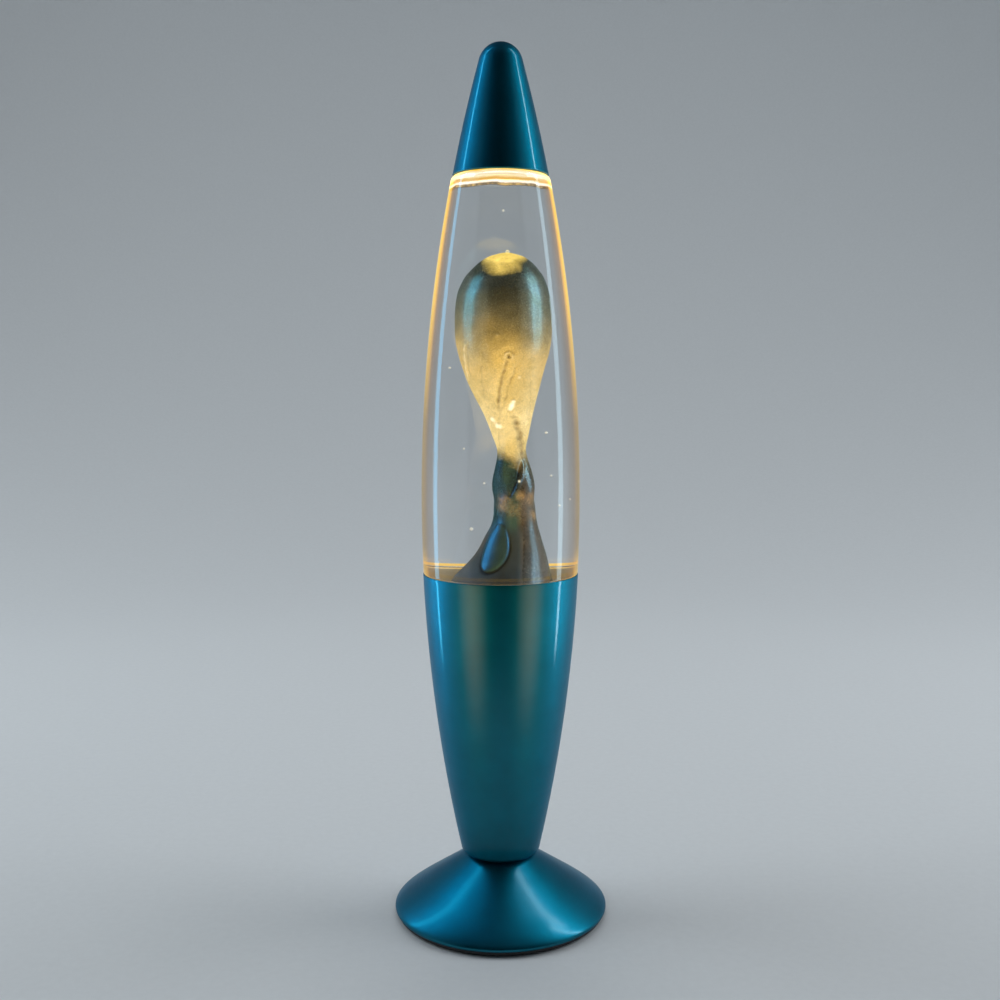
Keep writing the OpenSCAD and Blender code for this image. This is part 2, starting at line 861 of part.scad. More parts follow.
dome_h = wax_top_h - drop_h;
// Height over the bottle's inner floor, radius, offset in X and offset in Y
wax_stations = [
    [pool_h - 3, mound_r, 0, 0],
    [pool_h + 5, mound_r * 0.86, 0.05 * lean, 0],
    [pool_h + 14, mound_r * 0.7, 0.1 * lean, 0.5],
    [waist_h * 0.46, drop_r * 0.75, 0.66 * lean, 1],
    [waist_h * 0.56, drop_r * 0.58, 0.86 * lean, 1],
    [waist_h * 0.66, drop_r * 0.45, 1.02 * lean, 1],
    [waist_h * 0.82, waist_r * 1.32, 0.94 * lean, 0.5],
    [waist_h, waist_r, 0.78 * lean, 0],
    [drop_h - 42, drop_r * 0.48, 0.58 * lean, -0.5],
    [drop_h - 23, drop_r * 0.8, 0.25 * lean, -0.5],
    [drop_h - 9, drop_r * 0.98, 0.2 * lean, 0],
    [drop_h + 3, drop_r, 0.2 * lean, 0],
    [drop_h + dome_h * 0.42, drop_r * 0.955, 0.2 * lean, 0],
    [drop_h + dome_h * 0.58, drop_r * 0.875, 0.23 * lean, 0],
    [drop_h + dome_h * 0.71, drop_r * 0.77, 0.28 * lean, 0],
    [drop_h + dome_h * 0.87, drop_r * 0.54, 0.36 * lean, 0],
    [drop_h + dome_h * 0.955, drop_r * 0.33, 0.4 * lean, 0],
    [wax_top_h, drop_r * 0.08, 0.42 * lean, 0],
];

module wax_column(grow) {
    sides = 20;
    loft([for (s = smooth(wax_stations, 3))
        [for (k = [0 : sides - 1])
            let (a = 360 * k / sides, r = s[1] + grow)
            [s[2] + r * cos(a), s[3] + r * sin(a), floor_z + s[0] + (s[0] > drop_h ? grow : 0)]]]);
}

coil_r = coil_d / 2;
coil_mid_z = floor_z + coil_r + coil_wire_d / 2 + wax_gap;

module wax() {
    low_mid = round_mid(floor_z + inner_corner_r, pool_inset, inner_corner_r);
    low_angle = round_angle(floor_z + inner_corner_r, pool_inset, inner_corner_r);
    color("#c9b98a")
        difference() {
            union() {
                turned(concat(
                    [[0, floor_z + wax_gap]],
                    arc_points(low_mid + [0, wax_gap], inner_corner_r, -90, low_angle, 5),
                    side_points(low_mid[1] + inner_corner_r * sin(low_angle) + 1, pool_z, pool_inset, 4),
                    [[0, pool_z]]));
                wax_column(0);
            }
            translate([0, 0, coil_mid_z])
                rotate_extrude()
                    translate([coil_ring_d / 2, 0])
                        circle(r = coil_r + coil_wire_d / 2 + 2 * wax_gap);
        }
}

// The liquid's upper edge follows the rounded corner under the bottle's shoulder
liquid_edge_r = ceiling_r - wax_gap;
liquid_side_z = ceiling_mid[1] + liquid_edge_r * sin(ceiling_angle);
liquid_edge = liquid_z > liquid_side_z
    ? arc_points(ceiling_mid, liquid_edge_r, ceiling_angle,
        asin(min((liquid_z - ceiling_mid[1]) / liquid_edge_r, 1)), 4)
    : [];

module liquid() {
    color("#dfe9ea", 0.25)
        difference() {
            turned(concat(
                [[0, pool_z + wax_gap]],
                side_points(pool_z + wax_gap, min(liquid_z, liquid_side_z - 0.5), pool_inset, 40),
                liquid_edge,
                [[0, liquid_z]]));
            wax_column(wax_gap);
        }
}

// Heat coil: wire curled round a ring, open for a few degrees so that its ends stay apart

coil_sweep = 346;
coil_steps = coil_turns * 8;
function coil_ring_dir(b) = [cos(b), sin(b), 0];
function coil_point(i) =
    let (b = coil_sweep * i / coil_steps, a = 45 * i)
    coil_ring_dir(b) * (coil_ring_d / 2 + coil_r * cos(a)) + [0, 0, coil_mid_z + coil_r * sin(a)];
function coil_ref(i) = let (b = coil_sweep * i / coil_steps) [-sin(b), cos(b), 0];
coil_path = [for (i = [0 : coil_steps]) coil_point(i)];
// One straight wire diameter at each end
coil_first = coil_path[0] - unit(coil_path[1] - coil_path[0]) * coil_wire_d;
coil_last = coil_path[coil_steps] + unit(coil_path[coil_steps] - coil_path[coil_steps - 1]) * coil_wire_d;
// Least gap of the wire to itself, over points at least half a curl apart
coil_gap = min([for (i = [0 : 16], j = [i + 5 : coil_steps])
    norm(coil_path[j] - coil_path[i]) - coil_wire_d]);
echo(coil_gap = coil_gap);

module heat_coil() {
    color("#9a9c9e")
        loft(tube_rings(
            concat([coil_first], coil_path, [coil_last]),
            concat([coil_ref(0)], [for (i = [0 : coil_steps]) coil_ref(i)], [coil_ref(coil_steps)]),
            coil_wire_d / 2, 6));
}

// Cap: a hollow cone on the long curve with a round tip and a turned-in rim

function cap_path(t) =
    let (a = asin((cap_rim_z + t - cap_mid[1]) / (cap_curve_r - t)))
    concat(
        [for (i = [0 : 13]) let (b = a + (tip_angle - a) * i / 14)
            cap_mid + (cap_curve_r - t) * [cos(b), sin(b)]],
        arc_points(tip_mid, tip_r - t, tip_angle, 90, 9));

module top_cap() {
    hem_r = cap_foot[0] - cap_hem_w;
    color("#0a6f97")
        turned(concat(
            [[hem_r, cap_rim_z + skin], [hem_r, cap_rim_z]],
            cap_path(0),
            reversed(cap_path(skin))));
}

// Assembly

foot();
cord_bushing();
base_plate();
base_pad();
base_screws();
stem();
stem_nut();
tooth_washer();
neck_washer();
sleeve();
holder_cover();
holder_core();
holder_skirt();
screw_shell();
middle_contact();
terminal_block();
block_screws();
live_lead();
neutral_lead();
bulb_glass();
bulb_screw_cap();
bulb_insulator();
bulb_contact();
bulb_stem();
bulb_filament();
bottle();
crown_liner();
crown_cap();
wax();
liquid();
heat_coil();
top_cap();
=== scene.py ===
"""Looks of the liquid motion lamp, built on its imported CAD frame.

Shapes are in millimetres, as in the part's source. Materials, lights and camera are in metres.
"""

import math

import bmesh
import bpy
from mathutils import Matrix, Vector, noise


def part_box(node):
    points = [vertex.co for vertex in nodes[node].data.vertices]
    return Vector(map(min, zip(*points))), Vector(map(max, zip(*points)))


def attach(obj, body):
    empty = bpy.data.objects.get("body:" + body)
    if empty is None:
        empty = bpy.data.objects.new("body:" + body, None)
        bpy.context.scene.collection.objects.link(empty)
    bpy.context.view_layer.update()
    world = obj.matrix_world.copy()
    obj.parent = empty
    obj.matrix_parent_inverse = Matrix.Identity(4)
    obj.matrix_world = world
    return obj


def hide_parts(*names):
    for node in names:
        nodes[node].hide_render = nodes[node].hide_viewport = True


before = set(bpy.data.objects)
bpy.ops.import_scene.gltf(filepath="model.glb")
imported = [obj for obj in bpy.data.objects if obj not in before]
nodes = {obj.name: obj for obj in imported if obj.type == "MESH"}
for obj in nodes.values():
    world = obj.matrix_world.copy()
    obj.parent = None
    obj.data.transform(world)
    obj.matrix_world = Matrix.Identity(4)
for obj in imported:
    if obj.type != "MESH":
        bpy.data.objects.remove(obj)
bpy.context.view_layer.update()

MM = 0.001

# Sizes of the part's source
LAMP_H = 410.0
GLOBE_R = 37.5
WIDEST_Z = 200.0
CURVE_R = 770.0
SKIN = 0.8
FOOT_R = 51.25
FOOT_H = 29.5
FOOT_TOP_R = 15.7
FOOT_CORNER_Z = 5.5
FOOT_ROUND_W = 12.5
HEM_W = 8.0
PLATE_TOP_Z = 2.4
STEM_HOLE_R = 5.15
SLEEVE_Z = 30.1
SLEEVE_CORNER_R = 2.6
RIM_Z = 166.5
CAP_RIM_Z = 350.6
CAP_INSET = 0.45
CAP_HEM_W = 2.4
TIP_R = 10.32
BOTTLE_INSET = 1.15
FLUSH_INSET = 0.15
INNER_INSET = 3.55
SEAT_GAP = 0.1
SHOULDER_Z = CAP_RIM_Z - SEAT_GAP
SHOULDER_R = 3.0
CEILING_T = 3.4
CEILING_R = 4.0
HEEL_R = 4.0
PUNT_H = 3.0
GLASS_FLOOR = 6.0
INNER_CORNER_R = 3.0
NECK_R = 12.2
NECK_BORE_R = 8.0
CROWN_R = 14.4
CROWN_H = 6.0
CROWN_CLEAR = 0.7
CROWN_T = 0.5
LINER_T = 0.6
CROWN_TEETH = 21
BEAD_H = 4.4
POOL_H = 14.5
LIQUID_DROP = 5.4
BULB_R = 19.5
BULB_L = 46.0
BULB_NECK_R = 8.2
SCREW_CAP_R = 6.95
SCREW_PITCH = 2.822
BULB_GLASS_Z = 70.4
SCREW_Z = 55.9
CORD_BORE_R = 3.2
BUSH_R = 5.0
BUSH_FLANGE = 1.4
BUSH_MID_Z = PLATE_TOP_Z + BUSH_R
CLEAR = 0.15
EDGE_R = 0.9
FLANGE_T = 2.0
BULB_GLASS_T = 0.7

BULB_TOP_Z = BULB_GLASS_Z + BULB_L
BOTTLE_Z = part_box("bottle")[0][2] / MM
FLOOR_Z = BOTTLE_Z + GLASS_FLOOR
POOL_Z = FLOOR_Z + POOL_H
LIQUID_Z = SHOULDER_Z - LIQUID_DROP
CEILING_Z = SHOULDER_Z - CEILING_T


# Outlines, as lists of (radius, height)

def side_r(z, inset=0.0):
    return GLOBE_R - CURVE_R + math.sqrt((CURVE_R - inset) ** 2 - (z - WIDEST_Z) ** 2)


def side(z0, z1, inset, steps):
    return [(side_r(z0 + (z1 - z0) * i / steps, inset), z0 + (z1 - z0) * i / steps) for i in range(steps + 1)]


def arc(mid, r, a0, a1, steps):
    return [
        (mid[0] + r * math.cos(math.radians(a0 + (a1 - a0) * i / steps)),
         mid[1] + r * math.sin(math.radians(a0 + (a1 - a0) * i / steps)))
        for i in range(steps + 1)
    ]


def corner(z, inset, r):
    """The middle of a rounding at height z that meets the side, and the angle and height of the joint."""
    angle = math.asin((z - WIDEST_Z) / (CURVE_R - inset - r))
    return (side_r(z, inset + r), z), math.degrees(angle), z + r * math.sin(angle)


def bend(a, b, c, steps):
    """A curve from a to c that leaves a towards b and comes to c from b."""
    out = []
    for i in range(steps + 1):
        t = i / steps
        out.append(tuple(a * (1 - t) ** 2 + b * 2 * t * (1 - t) + c * t ** 2))
    return out


def fillet(path, radii):
    """The path with its corners rounded; radii maps a point's number to its radius."""
    out = []
    for i, p in enumerate(path):
        if i not in radii:
            out.append(p)
            continue
        p = Vector(p)
        a, b = Vector(path[i - 1]) - p, Vector(path[i + 1]) - p
        half = a.angle(b) / 2
        t = min(radii[i] / math.tan(half), 0.45 * a.length, 0.45 * b.length)
        s, e = p + a.normalized() * t, p + b.normalized() * t
        out += bend(s, p, e, 5)
    return out


def inset(path, t):
    """The path moved to its right by t, with mitred corners."""
    pts = [Vector(p) for p in path]
    out = []
    for i, p in enumerate(pts):
        a, b = pts[max(i - 1, 0)], pts[min(i + 1, len(pts) - 1)]
        d0 = (p - a if i > 0 else b - p).normalized()
        d1 = (b - p if i < len(pts) - 1 else p - a).normalized()
        n0, n1 = Vector((d0.y, -d0.x)), Vector((d1.y, -d1.x))
        q = p + (n0 + n1) * (t / (1 + n0.dot(n1)))
        out.append((q.x, q.y))
    return out


# Meshes

def new_object(name, bm, sharp=30.0):
    mesh = bpy.data.meshes.new(name)
    bm.to_mesh(mesh)
    bm.free()
    mesh.shade_smooth()
    mesh.set_sharp_from_angle(angle=math.radians(sharp))
    obj = bpy.data.objects.new(name, mesh)
    bpy.context.scene.collection.objects.link(obj)
    return obj


def add_rings(bm, rings, closed):
    """Faces between rings of equal length; a ring of one point closes an end."""
    pairs = list(zip(rings, rings[1:]))
    if closed:
        pairs.append((rings[-1], rings[0]))
    for low, high in pairs:
        if len(low) == 1 and len(high) == 1:
            continue
        n = max(len(low), len(high))
        for i in range(n):
            j = (i + 1) % n
            if len(low) == 1:
                bm.faces.new((low[0], high[j], high[i]))
            elif len(high) == 1:
                bm.faces.new((low[i], low[j], high[0]))
            else:
                bm.faces.new((low[i], low[j], high[j], high[i]))


def add_lathe(bm, profile, segments=160, closed=True, wave=None):
    """Turns a profile round the axis. wave(angle, r, z) may give another radius."""
    rings = []
    for r, z in profile:
        if r < 1e-6:
            rings.append([bm.verts.new((0, 0, z * MM))])
            continue
        ring = []
        for i in range(segments):
            a = 2 * math.pi * i / segments
            q = wave(a, r, z) if wave else r
            ring.append(bm.verts.new((q * math.cos(a) * MM, q * math.sin(a) * MM, z * MM)))
        rings.append(ring)
    add_rings(bm, rings, closed)


def lathe(name, profile, segments=160, closed=True, wave=None, sharp=30.0):
    bm = bmesh.new()
    add_lathe(bm, profile, segments, closed, wave)
    bmesh.ops.recalc_face_normals(bm, faces=bm.faces)
    return new_object(name, bm, sharp)


def paint(obj, *mats, rule=None):
    """Gives a piece its materials; rule(face) gives the number of the one that a face takes."""
    for m in mats:
        obj.data.materials.append(m)
    if rule:
        for f in obj.data.polygons:
            f.material_index = rule(f)
    return obj


def inward(face):
    c, n = face.center, face.normal
    return 1 if c.x * n.x + c.y * n.y < -0.1 * math.hypot(c.x, c.y) else 0


def place(obj, body, node):
    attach(obj, body)
    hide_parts(node)


def apply_modifiers(obj):
    graph = bpy.context.evaluated_depsgraph_get()
    mesh = bpy.data.meshes.new_from_object(obj.evaluated_get(graph))
    obj.modifiers.clear()
    obj.data = mesh


# Materials

class Nodes:
    """A material's node tree, with short calls for the nodes used here."""

    def __init__(self, name):
        self.mat = bpy.data.materials.new(name)
        self.mat.use_nodes = True
        self.tree = self.mat.node_tree
        self.tree.nodes.clear()
        self.out = self.tree.nodes.new("ShaderNodeOutputMaterial")
        self.bsdf = self.tree.nodes.new("ShaderNodeBsdfPrincipled")
        self.link(self.bsdf.outputs[0], self.out.inputs["Surface"])
        self.coord = self.tree.nodes.new("ShaderNodeTexCoord").outputs["Object"]

    def node(self, kind, **values):
        n = self.tree.nodes.new("ShaderNode" + kind)
        for k, v in values.items():
            setattr(n, k, v)
        return n

    def link(self, a, b):
        self.tree.links.new(a, b)

    def set(self, **values):
        for k, v in values.items():
            socket = self.bsdf.inputs[k.replace("_", " ")]
            if isinstance(v, bpy.types.NodeSocket):
                self.link(v, socket)
            else:
                socket.default_value = v
        return self

    def stretched(self, scale):
        m = self.node("Mapping")
        m.inputs["Scale"].default_value = scale
        self.link(self.coord, m.inputs["Vector"])
        return m.outputs[0]

    def noise(self, scale, detail, rough, vector=None, distortion=0.0):
        n = self.node("TexNoise")
        n.inputs["Scale"].default_value = scale
        n.inputs["Detail"].default_value = detail
        n.inputs["Roughness"].default_value = rough
        n.inputs["Distortion"].default_value = distortion
        self.link(vector or self.coord, n.inputs["Vector"])
        return n.outputs["Fac"]

    def spots(self, scale):
        n = self.node("TexVoronoi")
        n.inputs["Scale"].default_value = scale
        self.link(self.coord, n.inputs["Vector"])
        return n.outputs["Distance"]

    def ramp(self, fac, stops, easing="LINEAR"):
        """Colours over a value; a single number stands for a grey."""
        n = self.node("ValToRGB")
        r = n.color_ramp
        r.interpolation = easing
        while len(r.elements) < len(stops):
            r.elements.new(0.5)
        for e, (p, c) in zip(r.elements, stops):
            e.position = p
            e.color = (*c, 1.0) if isinstance(c, tuple) else (c, c, c, 1.0)
        self.link(fac, n.inputs["Fac"])
        return n.outputs["Color"]

    def span(self, value, lo, hi, to_lo=0.0, to_hi=1.0):
        n = self.node("MapRange")
        for k, v in (("From Min", lo), ("From Max", hi), ("To Min", to_lo), ("To Max", to_hi)):
            n.inputs[k].default_value = v
        self.link(value, n.inputs["Value"])
        return n.outputs[0]

    def vary(self, noise, lo=0.0, hi=1.0):
        """The usual range of a noise, spread from lo to hi."""
        return self.span(noise, 0.3, 0.7, lo, hi)

    def math(self, op, a, b=None):
        n = self.node("Math", operation=op)
        for i, v in enumerate((a, b)):
            if v is None:
                continue
            if isinstance(v, bpy.types.NodeSocket):
                self.link(v, n.inputs[i])
            else:
                n.inputs[i].default_value = v
        return n.outputs[0]

    def mix(self, fac, a, b, blend="MIX"):
        n = self.node("Mix", data_type="RGBA", blend_type=blend)
        for socket, v in ((n.inputs[0], fac), (n.inputs[6], a), (n.inputs[7], b)):
            if isinstance(v, bpy.types.NodeSocket):
                self.link(v, socket)
            else:
                socket.default_value = (*v, 1.0) if isinstance(v, tuple) and len(v) == 3 else v
        return n.outputs[2]

    def add(self, total, *terms):
        for term in terms:
            total = self.math("ADD", total, term)
        return total

    def times(self, a, b):
        return self.math("MULTIPLY", a, b)

    def axes(self, vector=None):
        """X, Y and Z of a vector, or else of the place in the part's frame."""
        n = self.node("SeparateXYZ")
        self.link(vector or self.coord, n.inputs[0])
        return n.outputs

    def bump(self, fac, strength, distance):
        n = self.node("Bump")
        n.inputs["Strength"].default_value = strength
        n.inputs["Distance"].default_value = distance
        self.link(fac, n.inputs["Height"])
        if self.bsdf.inputs["Normal"].is_linked:
            self.link(self.bsdf.inputs["Normal"].links[0].from_socket, n.inputs["Normal"])
        self.link(n.outputs[0], self.bsdf.inputs["Normal"])
        return self

    def let_lamps_through(self):
        """Shadow rays pass, so that lamps light what lies inside clear glass or liquid."""
        path = self.node("LightPath")
        clear = self.node("BsdfTransparent")
        mix = self.node("MixShader")
        self.link(path.outputs["Is Shadow Ray"], mix.inputs[0])
        self.link(self.bsdf.outputs[0], mix.inputs[1])
        self.link(clear.outputs[0], mix.inputs[2])
        self.link(mix.outputs[0], self.out.inputs["Surface"])
        return self


# What the wax's points carry: its creases and lumps, which also steer its painted shade and glints, where it
# is dull, and where painted light comes through
WAX_MARKS = ("form", "dull", "through")

# Heights between which surfaces take painted glow or change
SLEEVE_GLOW = 0.150, 0.1665
WALL_GLOW = 0.1665, 0.345
RIM_GLOW = 0.1670, 0.1690
SHOULDER_GLOW = 0.3425, 0.3507
DROP_GLOW = 0.214, 0.304
CROWN_GLOW = 0.2905, 0.2995
BULB_GLOW = 0.100, 0.1164
WAIST_BORDER = 0.2190, 0.2250
LOBE_TOP = 0.197, 0.190

ANODISED = (0.002, 0.180, 0.262)
ANODISED_DARK = (0.0015, 0.142, 0.205)
ANODISED_EDGE = (0.08, 0.50, 0.70, 1.0)
GRAIN_ROUGHNESS = 0.05


def turning_lines(n):
    """The fine rings that metal spinning leaves."""
    return n.noise(1.0, 4.0, 0.6, n.stretched((14.0, 14.0, 5200.0)))


def spun_aluminium(name, gloss, roughness):
    """Satin anodised sheet with faint turning lines, under a clear sharp gloss."""
    n = Nodes(name)
    lines = turning_lines(n)
    cloud = n.noise(38.0, 3.0, 0.55)
    tone = n.mix(n.vary(cloud), ANODISED_DARK, ANODISED)
    n.set(Base_Color=n.mix(n.span(lines, 0.25, 0.75, 0.0, 0.10), tone, ANODISED_DARK),
          Metallic=1.0, Specular_Tint=ANODISED_EDGE,
          Roughness=n.span(lines, 0.2, 0.8, roughness - 0.03, roughness + 0.05),
          Coat_Weight=0.36, Coat_Roughness=gloss, Coat_IOR=1.5)
    return n.bump(lines, 0.010, 0.00005).mat


def plain(name, colour, other, roughness, grain=900.0, metallic=0.0, bump=0.15, depth=0.0001, coat=0.0):
    """A surface with a fine grain in its colour, gloss and relief."""
    n = Nodes(name)
    fine = n.noise(grain, 3.0, 0.6)
    broad = n.noise(grain / 18.0, 2.0, 0.5)
    n.set(Base_Color=n.mix(n.vary(broad), colour, other),
          Metallic=metallic, Coat_Weight=coat, Coat_Roughness=0.08,
          Roughness=n.vary(fine, roughness - GRAIN_ROUGHNESS, roughness + GRAIN_ROUGHNESS))
    return n.bump(fine, bump, depth).mat


blue_metal = spun_aluminium("blue_spun_aluminium", 0.07, 0.46)
foot_metal = spun_aluminium("blue_spun_foot", 0.14, 0.38)


def sleeve_inside_material():
    """The bare inner face of the sleeve, with painted amber light where the bulb's light leaks past the
    bottle.
    """
    n = Nodes("sleeve_inside")
    lines = turning_lines(n)
    # Painted amber glow by height, brightest in a line at the rim
    glow = n.ramp(n.span(n.axes()["Z"], *SLEEVE_GLOW), [
        (0.0, 0.0),
        (0.30, (0.060, 0.036, 0.006)),
        (0.80, (0.150, 0.090, 0.014)),
        (0.955, (0.190, 0.115, 0.018)),
        (0.970, (0.60, 0.36, 0.05)),
        (1.0, (0.80, 0.48, 0.07)),
    ])
    n.set(Base_Color=n.mix(n.span(lines, 0.25, 0.75), (0.42, 0.40, 0.36), (0.30, 0.30, 0.29)),
          Metallic=1.0, Roughness=n.span(lines, 0.2, 0.8, 0.32, 0.46),
          Emission_Color=glow, Emission_Strength=1.0)
    return n.bump(lines, 0.10, 0.00005).mat


def bottle_glass(name, glow):
    """Clear glass. Its outer face has painted amber light that stands for the light the wall carries to its
    edges and shoulder, and its colour turns a painted amber-brown at the edges.
    """
    n = Nodes(name)
    faint = n.noise(60.0, 2.0, 0.5)
    n.set(Transmission_Weight=1.0, IOR=1.5, Roughness=n.vary(faint, 0.0, 0.012))
    if not glow:
        n.set(Base_Color=n.mix(n.vary(faint), (0.985, 0.99, 0.99), (0.97, 0.98, 0.98)))
        return n.let_lamps_through().mat
    z = n.axes()["Z"]
    facing = n.node("LayerWeight").outputs["Facing"]
    # Painted amber-brown colour where the glass is seen aslant, painted amber glow there, and painted glow
    # along the wall by height
    tint = n.ramp(facing, [
        (0.0, (0.985, 0.99, 0.99)),
        (0.40, (0.97, 0.98, 0.975)),
        (0.52, (0.70, 0.60, 0.52)),
        (0.70, (0.44, 0.30, 0.19)),
        (0.82, (0.24, 0.12, 0.03)),
    ])
    edge = n.ramp(facing, [
        (0.42, 0.0),
        (0.54, (0.075, 0.034, 0.008)),
        (0.63, (0.22, 0.100, 0.016)),
        (0.70, (0.80, 0.42, 0.025)),
        (0.78, (1.0, 0.60, 0.030)),
        (1.0, (1.0, 0.62, 0.040)),
    ])
    carried = n.ramp(n.span(z, *WALL_GLOW), [
        (0.0, 0.50), (0.08, 0.12), (0.40, 0.20), (0.72, 0.90), (1.0, 1.0)])
    # Painted light of the shoulder: a thin wavy foot, a white line, an amber one, and a cream band up to the
    # cap
    wave = n.vary(n.noise(1.0, 3.0, 0.6, n.stretched((110.0, 110.0, 30.0))), -0.0004, 0.0004)
    streaky = n.noise(1.0, 3.0, 0.6, n.stretched((90.0, 90.0, 700.0)))
    wavy = n.span(n.add(z, wave), *SHOULDER_GLOW)
    drops = n.span(n.noise(1.0, 3.0, 0.6, n.stretched((260.0, 260.0, 60.0))), 0.46, 0.62)
    rim = n.span(z, *RIM_GLOW)
    back = n.node("NewGeometry").outputs["Backfacing"]
    painted_rim_amber = (0.50, 0.24, 0.03)
    # Painted shade and light in the glass's colour: a dark amber wavy line at the shoulder's foot on front
    # faces, and an amber line above the sleeve's rim on back faces
    dark_line = n.ramp(wavy, [
        (0.0, 1.0), (0.03, (0.40, 0.26, 0.12)), (0.15, (0.30, 0.18, 0.07)), (0.20, 1.0)])
    warm_line = n.ramp(rim, [(0.0, 1.0), (0.12, painted_rim_amber), (0.68, painted_rim_amber), (0.80, 1.0)])
    n.set(Base_Color=n.mix(1.0, tint, n.mix(back, dark_line, warm_line), "MULTIPLY"))
    bands = n.ramp(wavy, [
        (0.0, 0.0),
        (0.05, (0.05, 0.026, 0.006)),
        (0.15, (0.10, 0.055, 0.012)),
        (0.19, (0.62, 0.44, 0.20)),
        (0.22, (1.0, 0.93, 0.76)),
        (0.30, (1.0, 0.86, 0.58)),
        (0.36, (0.90, 0.50, 0.10)),
        (0.44, (0.85, 0.50, 0.12)),
        (0.52, (1.0, 0.80, 0.42)),
        (0.72, (1.0, 0.90, 0.66)),
        (0.90, (1.0, 0.78, 0.36)),
        (0.96, (0.95, 0.50, 0.08)),
        (1.0, (0.60, 0.26, 0.03)),
    ])
    bands = n.mix(n.span(streaky, 0.40, 0.68, 0.0, 0.45), bands, (0.96, 0.70, 0.30), "MULTIPLY")
    foot_glow = (0.55, 0.34, 0.08)
    foot_line = n.ramp(wavy, [(0.04, 0.0), (0.08, foot_glow), (0.13, foot_glow), (0.17, 0.0)])
    bands = n.mix(drops, bands, n.mix(1.0, bands, foot_line, "ADD"))
    total = n.mix(1.0, n.mix(1.0, edge, carried, "MULTIPLY"), bands, "ADD")
    # The painted glow leaves the wall outwards, and inwards only in a line above the sleeve's rim
    rim_line = n.ramp(rim, [(0.0, 0.0), (0.12, (0.82, 0.47, 0.045)), (0.68, (0.86, 0.50, 0.05)), (0.80, 0.0)])
    n.set(Emission_Color=n.mix(back, total, rim_line), Emission_Strength=0.9)
    return n.let_lamps_through().mat


def clear_liquid():
    n = Nodes("clear_liquid")
    swirl = n.noise(22.0, 2.0, 0.5)
    n.set(Base_Color=n.mix(n.vary(swirl), (0.985, 0.985, 0.985), (0.965, 0.965, 0.97)),
          Transmission_Weight=1.0, IOR=1.36, Roughness=0.0)
    return n.let_lamps_through().mat


